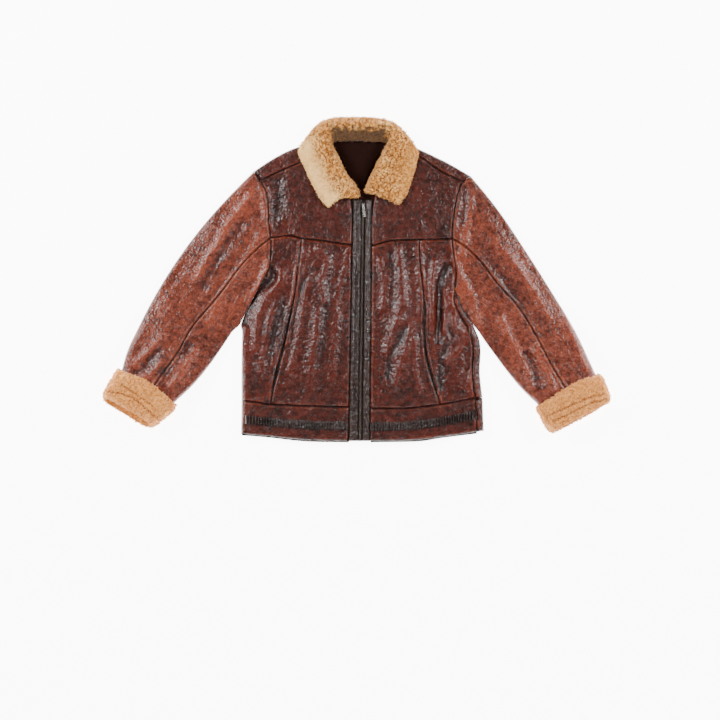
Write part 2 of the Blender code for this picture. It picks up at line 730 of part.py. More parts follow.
def back():
    """Back piece: the flat underside, the wraps over both shoulders and the left side."""
    sheet = Sheet()
    edge = {}
    inset = {}
    reaches = [EDGE] * SIDE_ROWS + [ARMPIT_REACH] + [0.0] * (UNDER_LOW + UNDER_HIGH + 1)
    for side in ("right", "left"):
        edge[side] = chain(run(side, "edge", SIDE_ROWS), run(side, "armhole_low", UNDER_LOW),
                           run(side, "armhole_high", UNDER_HIGH), run(side, "strip_end", 1))
    inset["right"] = insets(edge["right"], edge["left"], reaches)
    inset["left"] = insets(edge["left"], edge["right"], reaches)
    shoulder_in = {}
    shoulder_out = {}
    for side in ("right", "left"):
        out = run(side, "shoulder_edge", SHOULDER_PARTS)
        seam = run(side, "shoulder_seam", SHOULDER_PARTS)
        shoulder_out[side] = out
        shoulder_in[side] = insets(out, seam, [EDGE] * len(out))
        inset[side][-1] = shoulder_in[side][0]
    neck = smooth_curve([shoulder_in["right"][-1], *BACK_NECK, shoulder_in["left"][-1]],
                        NECK_COLUMNS)
    top = chain(shoulder_in["right"], neck, shoulder_in["left"][::-1])
    columns = len(top) - 1
    band = back_band_seam(columns)
    band[0], band[-1] = inset["right"][0], inset["left"][0]
    grid = coons(band, top, inset["right"], inset["left"])
    rows = []
    for j, row in enumerate(grid):
        keys = []
        for i, place in enumerate(row):
            key = ("base", j, i)
            sheet.point(key, (place.x, place.y, 0.0), (place.x, place.y, WALL))
            keys.append(key)
        rows.append(keys)
    sheet.net(rows)
    quarter_arc(sheet, [row[0] for row in rows], edge["right"], inset["right"], SIDE_ROWS)
    side_wrap(sheet, [row[-1] for row in rows], edge["left"], inset["left"],
              left_side_seam(), SIDE_ROWS)
    for side in ("right", "left"):
        base = rows[-1] if side == "right" else rows[-1][::-1]
        base = base[:SHOULDER_PARTS + 1]
        shoulder_wrap(sheet, base, side, shoulder_out[side], shoulder_in[side])
    return sheet.build("back", "leather")


def back_band_seam(columns):
    """Seam between the back and its hem band."""
    return smooth_curve([(-289 + EDGE, -286), (0, -303), (290 - EDGE, -280)], columns)


def quarter_arc(sheet, base, edge, inset, last):
    """Carry the back up round the right edge to the side seam at half height."""
    strips = []
    for j in range(last + 1):
        keys = [base[j]]
        reach = (edge[j] - inset[j]).length
        for part in (1, 2):
            key = ("right", j, part)
            angle = blend(0.0, math.pi / 2 - HALF_SEAM, part / 2)
            edge_point(sheet, key, inset[j], edge[j], angle, reach)
            keys.append(key)
        strips.append(keys)
    sheet.net(strips)


def side_wrap(sheet, base, edge, inset, seam, last):
    """Carry the back round the left edge and over to the side seam on the front."""
    strips = []
    for j in range(last + 1):
        keys = [base[j]]
        reach = (edge[j] - inset[j]).length
        for part in range(1, ARC_PARTS + 1):
            key = ("left", j, part)
            edge_point(sheet, key, inset[j], edge[j], math.pi * part / ARC_PARTS, reach)
            keys.append(key)
        end = seam[j]
        height = body_top(end.x, end.y)
        key = ("left", j, "seam")
        sheet.point(key, (end.x, end.y, height), (end.x, end.y, max(height - WALL, BED)))
        keys.append(key)
        strips.append(keys)
    sheet.net(strips)


def shoulder_wrap(sheet, base, side, out, inset):
    """Carry the back over a shoulder to the forward shoulder seam."""
    seam = run(side, "shoulder_seam", len(out) - 1)
    strips = []
    for j, start in enumerate(base):
        keys = [start]
        for part in range(1, ARC_PARTS + 1):
            key = (side, "shoulder", j, part)
            edge_point(sheet, key, inset[j], out[j], math.pi * part / ARC_PARTS, EDGE)
            keys.append(key)
        for part in range(1, STRIP_COLUMNS + 1):
            place = inset[j].lerp(seam[j], part / STRIP_COLUMNS)
            height = body_top(place.x, place.y)
            key = (side, "strip", j, part)
            sheet.point(key, (place.x, place.y, height),
                        (place.x, place.y, max(height - WALL, BED)))
            keys.append(key)
        strips.append(keys)
    sheet.net(strips)


def back_band():
    """Hem band of the back, wrapped over the left side to the side seam."""
    sheet = Sheet()
    edge = {side: run(side, "edge_band", BAND_ROWS) for side in ("right", "left")}
    inset = {"right": [place + Vector((EDGE, 0)) for place in edge["right"]],
             "left": [place - Vector((EDGE, 0)) for place in edge["left"]]}
    columns = 2 * SHOULDER_PARTS + NECK_COLUMNS
    top = back_band_seam(columns)
    top[0], top[-1] = inset["right"][-1], inset["left"][-1]
    bottom = smooth_curve([inset["right"][0], (0, HEM_Y), inset["left"][0]], columns)
    grid = coons(bottom, top, inset["right"], inset["left"])
    rows = []
    for j, row in enumerate(grid):
        keys = []
        for i, place in enumerate(row):
            key = ("base", j, i)
            sheet.point(key, (place.x, place.y, 0.0), (place.x, place.y, WALL))
            keys.append(key)
        rows.append(keys)
    sheet.net(rows)
    quarter_arc(sheet, [row[0] for row in rows], edge["right"], inset["right"], BAND_ROWS)
    side_wrap(sheet, [row[-1] for row in rows], edge["left"], inset["left"],
              run("left", "seam_band", BAND_ROWS), BAND_ROWS)
    return sheet.build("back_band", "leather")


def sleeve_plan(side, low_columns, high_columns):
    """Places of a sleeve seen from above, from the armhole to the mouth of the cuff."""
    corner = {name: Vector(place) for name, place in CORNER[side].items()}

    def along(name):
        start = run(side, "sleeve_" + name, SLEEVE_ROWS)
        stop = [corner["cuff_" + name].lerp(corner["mouth_" + name], share)
                for share in CUFF_ROWS]
        return chain(start, stop)

    outer, seam, inner = along("outer"), along("seam"), along("inner")
    rows = len(outer) - 1
    halves = [sleeve_half(j / rows) for j in range(rows + 1)]
    outer_in = insets(outer, seam, halves)
    inner_in = insets(inner, seam, [ARMPIT_REACH] + halves[1:])
    outer_in[0] = outer[0] + (corner["armhole_top"] - outer[0]).normalized() * EDGE
    high = run(side, "armhole_high", high_columns)
    armhole_high = chain([outer_in[0]], [outer_in[0], corner["armhole_top"]], high[::-1])
    armhole_low = run(side, "armhole_low", low_columns)[::-1]
    armhole_low[-1] = inner_in[0]
    mouth_high = smooth_curve([outer_in[-1], seam[-1]], len(armhole_high) - 1)
    mouth_low = smooth_curve([seam[-1], inner_in[-1]], low_columns)
    high_grid = coons(armhole_high, mouth_high, outer_in, seam)
    low_grid = coons(armhole_low, mouth_low, seam, inner_in)
    plan = [high_row + low_row[1:] for high_row, low_row in zip(high_grid, low_grid)]
    return plan, outer, inner, len(armhole_high) - 1


def sleeve_half(share):
    """Half the height of the sleeve, which opens towards the cuff."""
    return blend(EDGE, CUFF_HALF, ramp(share, OPENING))


def sleeve_low(share):
    """Height of the sleeve's underside, which lifts to make room for the cuff."""
    return CUFF_LOW * ramp(share, LIFTING)


def ring_places(side):
    """Make a function that gives the ring of one sleeve row, moved out by any distance."""
    top_plan, outer, inner, top_seam = sleeve_plan(side, ARMHOLE_LOW_ROWS, YOKE_ROWS)
    under_plan, _, _, under_seam = sleeve_plan(side, UNDER_LOW, UNDER_HIGH)
    rows = len(outer) - 1
    cuff_way = Vector(CORNER[side]["mouth_seam"]) - Vector(CORNER[side]["cuff_seam"])
    cuff_way = cuff_way.normalized()

    def ring(j, out):
        half, low = sleeve_half(j / rows), sleeve_low(j / rows)
        slant = MOUTH_SLANT[side] * smoothstep((j - SLEEVE_ROWS) / (rows - SLEEVE_ROWS))
        places = []

        def add(plan, height, depth):
            shift = cuff_way * (slant * depth)
            places.append(Vector((plan.x + shift.x, plan.y + shift.y, height)))

        def arc(inset, edge, angles):
            way = (edge - inset).normalized()
            reach = (edge - inset).length
            for angle in angles:
                plan = inset + way * ((reach + out) * math.sin(angle))
                height = low + half - (half + out) * math.cos(angle)
                add(plan, height, (1 + math.cos(angle)) / 2)

        fade = 1.0 - ramp(j / rows, FOLD_END)
        for plan in top_plan[j][top_seam::-1]:
            add(plan, low + 2 * half + bumps(plan.x, plan.y) * fade + out, 0.0)
        angles = [math.pi * part / ARC_PARTS for part in range(1, ARC_PARTS)]
        arc(top_plan[j][0], outer[j], angles[::-1])
        for plan in under_plan[j]:
            add(plan, low - out, 1.0)
        arc(top_plan[j][-1], inner[j], angles)
        for plan in top_plan[j][:top_seam:-1]:
            add(plan, low + 2 * half + bumps(plan.x, plan.y) * fade + out, 0.0)
        return places

    return ring, top_seam + ARC_PARTS + under_seam


def sleeve(side, ring, turn):
    """Upper and under sleeve, which meet at the front seam and along the underside."""
    last = SLEEVE_ROWS + SLEEVE_END
    pieces = []
    count = len(ring(0, 0.0))
    for name, keys in (("sleeve_upper_", range(0, turn + 1)),
                       ("sleeve_under_", list(range(turn, count)) + [0])):
        sheet = Sheet()
        net = []
        for j in range(last + 1):
            outside, inside = ring(j, 0.0), ring(j, -WALL)
            for k in keys:
                sheet.point((j, k), outside[k], inside[k])
            net.append([(j, k) for k in keys])
        sheet.net(net)
        pieces.append(sheet.build(name + side, "leather"))
    return pieces


def cuff(side, ring):
    """Turned-back cuff, wool side out, made from the sleeve's rings and moved out."""
    sheet = Sheet()
    count = len(ring(0, 0.0))
    net = []
    for row, fullness in enumerate(CUFF_FULLNESS):
        j = SLEEVE_ROWS + row
        outside, inside = ring(j, LIFT + FUR_WALL * fullness), ring(j, LIFT)
        for k in range(count):
            sheet.point((j, k), outside[k], inside[k])
        net.append([(j, k) for k in range(count)] + [(j, 0)])
    sheet.net(net)
    return sheet.build("cuff_" + side, "fur")


def drape(x, y):
    """Height at which a soft piece lies on the fronts, or hangs past the shoulder edge."""
    outside = outside_shoulder(x, y)
    if outside <= 0.0:
        return body_top(x, y) + 2 * LIFT
    return (2 * EDGE + 2 * LIFT) * (1.0 - smoothstep(outside / DRAPE)) + LIFT


def outside_shoulder(x, y):
    """Distance past the shoulder edge, or 0 over the fronts."""
    side = "right" if x < 0 else "left"
    edge = run(side, "shoulder_edge", 12)
    nearest = min(segments_of(edge), key=lambda pair: segment_distance(x, y, *pair))
    start, stop = nearest
    way = stop - start
    turn = way.x * (y - start.y) - way.y * (x - start.x)
    beyond = turn > 0 if side == "right" else turn < 0
    return segment_distance(x, y, start, stop) if beyond else 0.0


def rounded(points, parts):
    """Read places along a curve that rounds off the corners of a run of points."""
    knots = [points[0]] * 2 + list(points) + [points[-1]] * 2
    spans = len(knots) - 3
    places = []
    for part in range(parts + 1):
        position = min(part / parts * spans, spans - 1e-9)
        index = int(position)
        t = position - index
        a, b, c, d = knots[index:index + 4]
        places.append((a * (1 - t)**3 + b * (3 * t**3 - 6 * t**2 + 4)
                       + c * (-3 * t**3 + 3 * t**2 + 3 * t + 1) + d * t**3) / 6)
    return places


def collar_underside():
    """Rows of places under the collar, from the free edge over the crest to the foot."""
    rows = []
    for station in smooth_curve(COLLAR, COLLAR_STATIONS):
        edge, crest = Vector(station[0:3]), Vector(station[3:6])
        foot = Vector((station[6], station[7], COLLAR_FOOT))
        steps = []
        for share in (0.0, 0.25, 0.5, 0.75):
            place = edge.lerp(crest, share)
            place.y += station[8] * 4 * share * (1 - share)
            lift = COLLAR_LIFT * share**2
            place.z = max(blend(edge.z, crest.z, share), drape(place.x, place.y) + lift)
            steps.append(place)
        steps[0].z = max(edge.z, drape(edge.x, edge.y))
        steps.append(crest)
        steps.append(crest)
        steps.append(crest.lerp(foot, 0.5))
        steps.append(foot)
        rows.append(rounded(steps, COLLAR_PARTS))
    return rows


def collar():
    """Collar in one piece, turned down, with its roll round the neck."""
    sheet = Sheet()
    under = collar_underside()
    keys = []
    last, end = len(under) - 1, len(under[0]) - 1
    for j, row in enumerate(under):
        line = []
        for i, place in enumerate(row):
            along = under[min(j + 1, last)][i] - under[max(j - 1, 0)][i]
            across = row[min(i + 1, end)] - row[max(i - 1, 0)]
            way = across.cross(along).normalized()
            full = COLLAR_EDGE_WALL[i] if i < len(COLLAR_EDGE_WALL) else 1.0
            sheet.point((j, i), place + way * (FUR_WALL * full), place)
            line.append((j, i))
        keys.append(line)
    sheet.net(keys)
    return sheet.build("collar", "fur")


def neck_facing():
    """Dark patch on the back that shows inside the collar."""
    sheet = Sheet()
    right, left = smooth_curve(FACING_RIGHT, 6), smooth_curve(FACING_LEFT, 6)
    keys = []
    for j, (start, stop) in enumerate(zip(right, left)):
        row = []
        for i in range(5):
            place = start.lerp(stop, i / 4)
            sheet.point(("facing", j, i), (place.x, place.y, BED + THIN_WALL),
                        (place.x, place.y, BED))
            row.append(("facing", j, i))
        keys.append(row)
    sheet.net(keys)
    return sheet.build("neck_facing", "facing")


def zip_x(y):
    return (straight(ZIP_EDGES[0], y) + straight(ZIP_EDGES[1], y)) / 2


SLIDER_BASE = ZIP_LOW + ZIP_RISE + LIFT
HINGE_Z = SLIDER_BASE + SLIDER_HEIGHT + HINGE_RISE


def block(mesh, low, high):
    """Add a box between two corners."""
    made = bmesh.ops.create_cube(mesh, size=1.0)
    for corner in made["verts"]:
        for axis in range(3):
            corner.co[axis] = high[axis] if corner.co[axis] > 0 else low[axis]


def slider():
    """Zip slider with the bridge that holds its pull tab."""
    centre = Vector((zip_x(SLIDER_Y), SLIDER_Y, SLIDER_BASE))
    half_width, half_length = SLIDER_WIDTH / 2, SLIDER_LENGTH / 2
    mesh = bmesh.new()
    block(mesh, (-half_width, -half_length, 0), (half_width, half_length, SLIDER_HEIGHT))
    bmesh.ops.bevel(mesh, geom=mesh.edges[:], offset=0.8, segments=1, affect="EDGES")
    bmesh.ops.translate(mesh, verts=mesh.verts[:], vec=centre)
    bmesh.ops.scale(mesh, verts=mesh.verts[:], vec=(MM, MM, MM))
    body = finish(mesh, "zip_slider", "zip_metal")

    profile = ((-BRIDGE_LENGTH / 2, -1.0), (-BRIDGE_LENGTH / 2, BRIDGE_HEIGHT - 1.0),
               (-BRIDGE_LENGTH / 2 + 1.0, BRIDGE_HEIGHT), (BRIDGE_LENGTH / 2 - 1.0, BRIDGE_HEIGHT),
               (BRIDGE_LENGTH / 2, BRIDGE_HEIGHT - 1.0), (BRIDGE_LENGTH / 2, -1.0),
               (BRIDGE_LENGTH / 2 - BRIDGE_BAR, -1.0),
               (BRIDGE_LENGTH / 2 - BRIDGE_BAR, BRIDGE_HEIGHT - BRIDGE_BAR),
               (-BRIDGE_LENGTH / 2 + BRIDGE_BAR, BRIDGE_HEIGHT - BRIDGE_BAR),
               (-BRIDGE_LENGTH / 2 + BRIDGE_BAR, -1.0))
    mesh = bmesh.new()
    face = mesh.faces.new([mesh.verts.new((-BRIDGE_WIDTH / 2, y, z)) for y, z in profile])
    grown = bmesh.ops.extrude_face_region(mesh, geom=[face])
    moved = [item for item in grown["geom"] if isinstance(item, bmesh.types.BMVert)]
    bmesh.ops.translate(mesh, verts=moved, vec=(BRIDGE_WIDTH, 0, 0))
    bmesh.ops.translate(mesh, verts=mesh.verts[:], vec=centre + Vector((0, 0, SLIDER_HEIGHT)))
    bmesh.ops.scale(mesh, verts=mesh.verts[:], vec=(MM, MM, MM))
    bridge = finish(mesh, "slider_bridge", "zip_metal")
    bridge.hide_render = True
    bridge.display_type = "WIRE"
    union = body.modifiers.new("bridge", "BOOLEAN")
    union.operation = "UNION"
    union.object = bridge
    return body


def pull():
    """Pull tab: a plate whose window goes round the slider's bridge."""
    half = PULL_WIDTH / 2
    xs = (-half, -PULL_WINDOW / 2, PULL_WINDOW / 2, half)
    window_end = PULL_BAR / 2 + PULL_WINDOW_LENGTH
    ys = (PULL_BAR / 2, -PULL_BAR / 2, -window_end, -PULL_LENGTH + 3.0, -PULL_LENGTH)
    widths = (1.0, 1.0, 0.92, 0.92, 0.6)
    sheet = Sheet()
    for j, y in enumerate(ys):
        for i, x in enumerate(xs):
            sheet.point((j, i), (x * widths[j], y, PULL_THICK / 2),
                        (x * widths[j], y, -PULL_THICK / 2))
    for j in range(len(ys) - 1):
        for i in range(len(xs) - 1):
            if (j, i) != (1, 1):
                sheet.faces.append(((j, i), (j, i + 1), (j + 1, i + 1), (j + 1, i)))
    piece = sheet.build("zip_pull", "zip_metal", gap=0.0)
    piece.rotation_euler = (PULL_SLOPE, 0.0, PULL_TURN)
    hinge_y = SLIDER_Y - HINGE_BACK
    piece.location = Vector((zip_x(hinge_y), hinge_y, HINGE_Z)) * MM
    return piece


def main():
    for old in list(bpy.data.objects):
        bpy.data.objects.remove(old, do_unlink=True)
    MATERIALS.update(make_materials())
    back()
    back_band()
    neck_facing()
    for side, edges in (("right", PLACKET_RIGHT), ("left", PLACKET_LEFT)):
        side_front(side)
        centre_front(side)
        yoke(side)
        front_band(side)
        hem_strip(side)
        welt(side)
        placket(side, edges)
        ring, turn = ring_places(side)
        sleeve(side, ring, turn)
        cuff(side, ring)
    collar()
    zip_chain()
    slider()
    pull()


MATERIALS = {}
main()
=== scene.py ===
# %% [markdown]
# # A shearling jacket, laid flat
# Shearling is a sheepskin tanned with its wool on. This jacket wears the leather outside and
# turns the wool out at the collar and the cuffs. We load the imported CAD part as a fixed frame,
# then make one fine piece for each piece of cloth, and finish each one as what it is.

# %% Load the frame
import math
import random

import bmesh
import bpy
import numpy as np
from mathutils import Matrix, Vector, noise
from mathutils.bvhtree import BVHTree
from mathutils.kdtree import KDTree


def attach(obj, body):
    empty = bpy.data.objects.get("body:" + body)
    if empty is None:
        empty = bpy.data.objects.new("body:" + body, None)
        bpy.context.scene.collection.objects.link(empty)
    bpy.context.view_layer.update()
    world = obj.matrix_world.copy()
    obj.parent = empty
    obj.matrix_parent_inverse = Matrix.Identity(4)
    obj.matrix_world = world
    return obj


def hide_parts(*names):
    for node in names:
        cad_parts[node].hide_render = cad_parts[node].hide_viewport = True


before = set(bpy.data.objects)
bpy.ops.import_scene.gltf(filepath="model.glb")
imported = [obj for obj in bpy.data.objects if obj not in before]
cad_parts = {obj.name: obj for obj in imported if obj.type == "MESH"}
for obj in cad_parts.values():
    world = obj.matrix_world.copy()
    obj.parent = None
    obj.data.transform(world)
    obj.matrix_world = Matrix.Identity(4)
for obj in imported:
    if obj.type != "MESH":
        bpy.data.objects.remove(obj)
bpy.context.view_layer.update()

MM = 0.001
UP = Vector((0, 0, 1))

# %% [markdown]
# ## The camera
# The jacket was photographed from straight above. A long lens, high up, keeps the folds near
# the edges as flat as in a studio picture. Places on the cloth are easiest to read off the
# picture, so `at` turns a picture place into millimetres on the table.

# %% Camera
PICTURE = 720
PIXEL = 2.4                   # millimetres of table per picture pixel
ZIP_COLUMN, ORIGIN_ROW = 362, 281


def at(column, row):
    return ((column - ZIP_COLUMN) * PIXEL, (ORIGIN_ROW - row) * PIXEL)


height = 6.0
lens = bpy.data.cameras.new("camera")
camera = bpy.data.objects.new("camera", lens)
bpy.context.collection.objects.link(camera)
middle = at(PICTURE / 2, PICTURE / 2)
camera.location = (middle[0] * MM, middle[1] * MM, height)
lens.sensor_width = 36.0
lens.lens = lens.sensor_width * height / (PICTURE * PIXEL * MM)
lens.clip_end = 50.0
bpy.context.scene.camera = camera
print("camera over", middle, "lens", round(lens.lens, 1))

# %% [markdown]
# ## The studio
# A white light table and three soft lamps, all rather low. A flat part of glossy leather then
# stays dark, and only the slopes of the folds and of the grain send the lamps to the camera.
# A weak fourth lamp overhead gives the flat metal of the zip pull something to mirror.

# %% Floor and lights
floor_mesh = bpy.data.meshes.new("floor")
floor_mesh.from_pydata([(-8, -8, 0), (8, -8, 0), (8, 8, 0), (-8, 8, 0)], [], [(0, 1, 2, 3)])
floor = bpy.data.objects.new("floor", floor_mesh)
floor.location.z = -0.0005
bpy.context.collection.objects.link(floor)

for name, place, size, power in (("left lamp", (-2.4, 1.0, 1.9), 1.0, 150.0),
                                 ("right lamp", (2.4, 0.8, 1.9), 1.0, 120.0),
                                 ("near lamp", (0.3, -2.4, 2.0), 1.2, 45.0),
                                 ("top lamp", (0.0, 0.4, 4.0), 0.5, 3.5)):
    lamp = bpy.data.lights.new(name, "AREA")
    lamp.energy = power
    lamp.size = size
    light = bpy.data.objects.new(name, lamp)
    light.location = place
    light.rotation_euler = (Vector((0, -0.05, 0)) - Vector(place)).to_track_quat("-Z", "Y").to_euler()
    bpy.context.collection.objects.link(light)

world = bpy.data.worlds.new("studio")
world.use_nodes = True
world.node_tree.nodes["Background"].inputs["Color"].default_value = (1, 1, 1, 1)
world.node_tree.nodes["Background"].inputs["Strength"].default_value = 0.12
bpy.context.scene.world = world
print("four lamps and an even white surround")

# %% [markdown]
# ## Two small helpers for materials
# Paint charts and colour pickers give sRGB hex values, but a shader works in linear light.
# `add` puts one node in a tree, sets its properties, and fills or links its sockets.


# %% Colour and node helpers
def linear(code):
    """Turn an sRGB hex value into a linear colour."""
    values = [int(code[i:i + 2], 16) / 255 for i in (1, 3, 5)]
    return tuple(v / 12.92 if v <= 0.04045 else ((v + 0.055) / 1.055)**2.4
                 for v in values) + (1.0,)


def add(tree, kind, inputs=None, **settings):
    node = tree.nodes.new(kind)
    for name, value in settings.items():
        setattr(node, name, value)
    for socket, value in (inputs or {}).items():
        if isinstance(value, bpy.types.NodeSocket):
            tree.links.new(value, node.inputs[socket])
        else:
            node.inputs[socket].default_value = value
    return node


def new_material(name):
    material = bpy.data.materials.new(name)
    material.use_nodes = True
    tree = material.node_tree
    return material, tree, tree.nodes["Principled BSDF"]


print("dark leather brown is", linear("#4a2118"))

# %% [markdown]
# ## Waxed sheepskin leather
# The grain side of the skin is dyed red-brown, waxed and rubbed by hand. The wax makes it glossy, the
# rubbing leaves cloudy patches about 60 mm wide, and the ridges beside the seams wear to rust. Fold crests
# are painted lighter, partly as rubbed wear and partly as painted highlight, and fold troughs darker, as
# painted shade. The pebbled grain is really under 1 mm; it is drawn 6 mm coarse so that it shows here.
# Three values come from the mesh: `wear` beside a seam, the dirt and painted shade of its groove, and
# `ridge` up a fold.


# %% Leather material
def waxed_leather(name, deep, middle, rust, gloss=0.28):
    material, tree, surface = new_material(name)
    place = add(tree, "ShaderNodeTexCoord").outputs["Object"]
    wear = add(tree, "ShaderNodeAttribute", attribute_name="wear").outputs["Fac"]
    ridge = add(tree, "ShaderNodeAttribute", attribute_name="ridge").outputs["Fac"]
    soil = add(tree, "ShaderNodeAttribute", attribute_name="soil").outputs["Fac"]
    patches = add(tree, "ShaderNodeTexNoise", {"Vector": place, "Scale": 14.0, "Detail": 3.0,
                                               "Roughness": 0.6}).outputs["Fac"]
    mottle = add(tree, "ShaderNodeTexNoise", {"Vector": place, "Scale": 85.0, "Detail": 5.0,
                                              "Roughness": 0.7}).outputs["Fac"]
    faded = add(tree, "ShaderNodeMapRange", {"Value": patches, "To Min": 0.25,
                                             "To Max": 0.75}).outputs[0]
    cloudy = add(tree, "ShaderNodeMath", {0: faded, 1: mottle}, operation="ADD").outputs[0]
    # Fold height shifts the dye: crests lighter, partly as rubbed wear and partly as painted highlight,
    # troughs darker as painted shade.
    cloudy = add(tree, "ShaderNodeMath", {0: cloudy, 1: ridge}, operation="ADD").outputs[0]
    share = add(tree, "ShaderNodeMapRange", {"Value": cloudy, "From Min": 0.82,
                                             "From Max": 1.18}).outputs[0]
    dyed = add(tree, "ShaderNodeMix", {0: share, 6: linear(deep), 7: linear(middle)},
               data_type="RGBA").outputs[2]
    rubbed = add(tree, "ShaderNodeMath", {0: wear, 1: mottle}, operation="MULTIPLY").outputs[0]
    rubbed = add(tree, "ShaderNodeMath", {0: rubbed, 1: patches}, operation="MULTIPLY").outputs[0]
    rubbed = add(tree, "ShaderNodeMapRange", {"Value": rubbed, "From Min": 0.12,
                                              "From Max": 0.42, "To Max": 0.8}).outputs[0]
    worn = add(tree, "ShaderNodeMix", {0: rubbed, 6: dyed, 7: linear(rust)},
               data_type="RGBA").outputs[2]
    warp = add(tree, "ShaderNodeTexNoise", {"Vector": place, "Scale": 120.0}).outputs["Color"]
    warp = add(tree, "ShaderNodeVectorMath", {0: warp, "Scale": 0.006}, operation="SCALE").outputs[0]
    bent = add(tree, "ShaderNodeVectorMath", {0: place, 1: warp}, operation="ADD").outputs[0]
    cracks = add(tree, "ShaderNodeTexVoronoi", {"Vector": bent, "Scale": 150.0},
                 feature="DISTANCE_TO_EDGE").outputs["Distance"]
    cracks = add(tree, "ShaderNodeMapRange", {"Value": cracks, "From Max": 0.16}).outputs[0]
    lined = add(tree, "ShaderNodeMix", {0: cracks, 6: linear("#100403"), 7: worn},
                data_type="RGBA").outputs[2]
    faint = add(tree, "ShaderNodeMix", {0: 0.42, 6: lined, 7: worn}, data_type="RGBA").outputs[2]
    # The seam groove is painted near black: dirt and painted shade in the groove.
    with_seam_dirt_and_shade = add(tree, "ShaderNodeMix", {0: soil, 6: faint, 7: linear("#0a0302")},
                 data_type="RGBA").outputs[2]
    tree.links.new(with_seam_dirt_and_shade, surface.inputs["Base Color"])
    shine = add(tree, "ShaderNodeMapRange", {"Value": mottle, "From Min": 0.3, "From Max": 0.7,
                                             "To Min": gloss, "To Max": gloss + 0.2}).outputs[0]
    tree.links.new(shine, surface.inputs["Roughness"])
    surface.inputs["IOR"].default_value = 1.5
    surface.inputs["Specular IOR Level"].default_value = 0.3
    surface.inputs["Coat Weight"].default_value = 0.3
    surface.inputs["Coat Roughness"].default_value = 0.2
    surface.inputs["Coat IOR"].default_value = 1.44
    pebbles = add(tree, "ShaderNodeTexVoronoi", {"Vector": bent, "Scale": 165.0},
                  feature="SMOOTH_F1").outputs["Distance"]
    crumple = add(tree, "ShaderNodeTexNoise", {"Vector": place, "Scale": 55.0, "Detail": 3.0,
                                               "Distortion": 1.2}).outputs["Fac"]
    bump = add(tree, "ShaderNodeBump", {"Height": crumple, "Distance": 3.2 * MM,
                                        "Strength": 0.6}).outputs[0]
    bump = add(tree, "ShaderNodeBump", {"Height": cracks, "Distance": 0.5 * MM, "Strength": 0.5,
                                        "Normal": bump}).outputs[0]
    bump = add(tree, "ShaderNodeBump", {"Height": pebbles, "Distance": 2.2 * MM, "Strength": 0.6,
                                        "Normal": bump}, invert=True).outputs[0]
    tree.links.new(bump, surface.inputs["Normal"])
    tree.links.new(bump, surface.inputs["Coat Normal"])
    return material


body_leather = waxed_leather("waxed_sheepskin", "#220803", "#561b0c", "#853718")
side_leather = waxed_leather("waxed_sheepskin_red", "#240803", "#5b1c0b", "#8a3615")
# The sleeves take a lighter copy of the leather: a painted sheen where the sleeves catch the lamps.
sleeve_leather = waxed_leather("waxed_sheepskin_painted_sheen", "#40140a", "#8c4029", "#a85636")
dark_leather = waxed_leather("dark_trim_leather", "#160c09", "#32201a", "#452e25")
print("four leathers")

# %% [markdown]
# ## Wool, thread, tape and metal
# Shorn lambswool keeps no gloss: it is rough, with a soft sheen. Its colour is darker between the curls,
# as painted shade, and pale at their tips; the curl height is stored on the mesh for that. `pale` marks
# where the wool is combed and bleached, and another value marks the stand of the collar, which is painted
# greyer and darker as painted shade. Plated zinc and blackened brass are metals, so their colour is in
# their reflection.


# %% Wool material
def lambswool(name, deep, middle, light):
    material, tree, surface = new_material(name)
    place = add(tree, "ShaderNodeTexCoord").outputs["Object"]
    tip_and_hollow_shade = add(tree, "ShaderNodeAttribute", attribute_name="tip_and_hollow_shade").outputs["Fac"]
    pale = add(tree, "ShaderNodeAttribute", attribute_name="pale").outputs["Fac"]
    fibres = add(tree, "ShaderNodeTexNoise", {"Vector": place, "Scale": 420.0, "Detail": 3.0,
                                              "Roughness": 0.7}).outputs["Fac"]
    tint = add(tree, "ShaderNodeTexNoise", {"Vector": place, "Scale": 28.0,
                                            "Detail": 2.0}).outputs["Fac"]
    # Low curl height gives the deep colour: painted shade in the hollows between the curls.
    depth = add(tree, "ShaderNodeMath", {0: tip_and_hollow_shade, 1: fibres}, operation="ADD").outputs[0]
    low = add(tree, "ShaderNodeMapRange", {"Value": depth, "From Min": 0.38,
                                           "From Max": 0.85}).outputs[0]
    high = add(tree, "ShaderNodeMath", {0: depth, 1: tint}, operation="ADD").outputs[0]
    high = add(tree, "ShaderNodeMath", {0: high, 1: pale}, operation="ADD").outputs[0]
    high = add(tree, "ShaderNodeMapRange", {"Value": high, "From Min": 1.2,
                                            "From Max": 2.3}).outputs[0]
    wool = add(tree, "ShaderNodeMix", {0: low, 6: linear(deep), 7: linear(middle)},
               data_type="RGBA").outputs[2]
    wool = add(tree, "ShaderNodeMix", {0: high, 6: wool, 7: linear(light)},
               data_type="RGBA").outputs[2]
    # The stand of the collar is painted greyer and darker: painted shade under the roll of the collar.
    stand_shade = add(tree, "ShaderNodeAttribute", attribute_name="stand_shade").outputs["Fac"]
    stand_shade_tone = add(tree, "ShaderNodeMix", {0: fibres, 6: linear("#2a170a"), 7: linear("#7e5a36")},
                 data_type="RGBA").outputs[2]
    wool = add(tree, "ShaderNodeMix", {0: stand_shade, 6: wool, 7: stand_shade_tone},
               data_type="RGBA").outputs[2]
    tree.links.new(wool, surface.inputs["Base Color"])
    surface.inputs["Roughness"].default_value = 0.9
    surface.inputs["Sheen Weight"].default_value = 0.25
    surface.inputs["Specular IOR Level"].default_value = 0.2
    bump = add(tree, "ShaderNodeBump", {"Height": fibres, "Distance": 1.2 * MM,
                                        "Strength": 0.8}).outputs[0]
    tree.links.new(bump, surface.inputs["Normal"])
    return material


collar_wool = lambswool("honey_lambswool", "#5a2b0c", "#d28b3a", "#ffd085")
cuff_wool = lambswool("tan_lambswool", "#7a3d14", "#e4984a", "#ffc078")
lining_wool = lambswool("orange_lambswool", "#8a3f0e", "#e08030", "#f7b468")


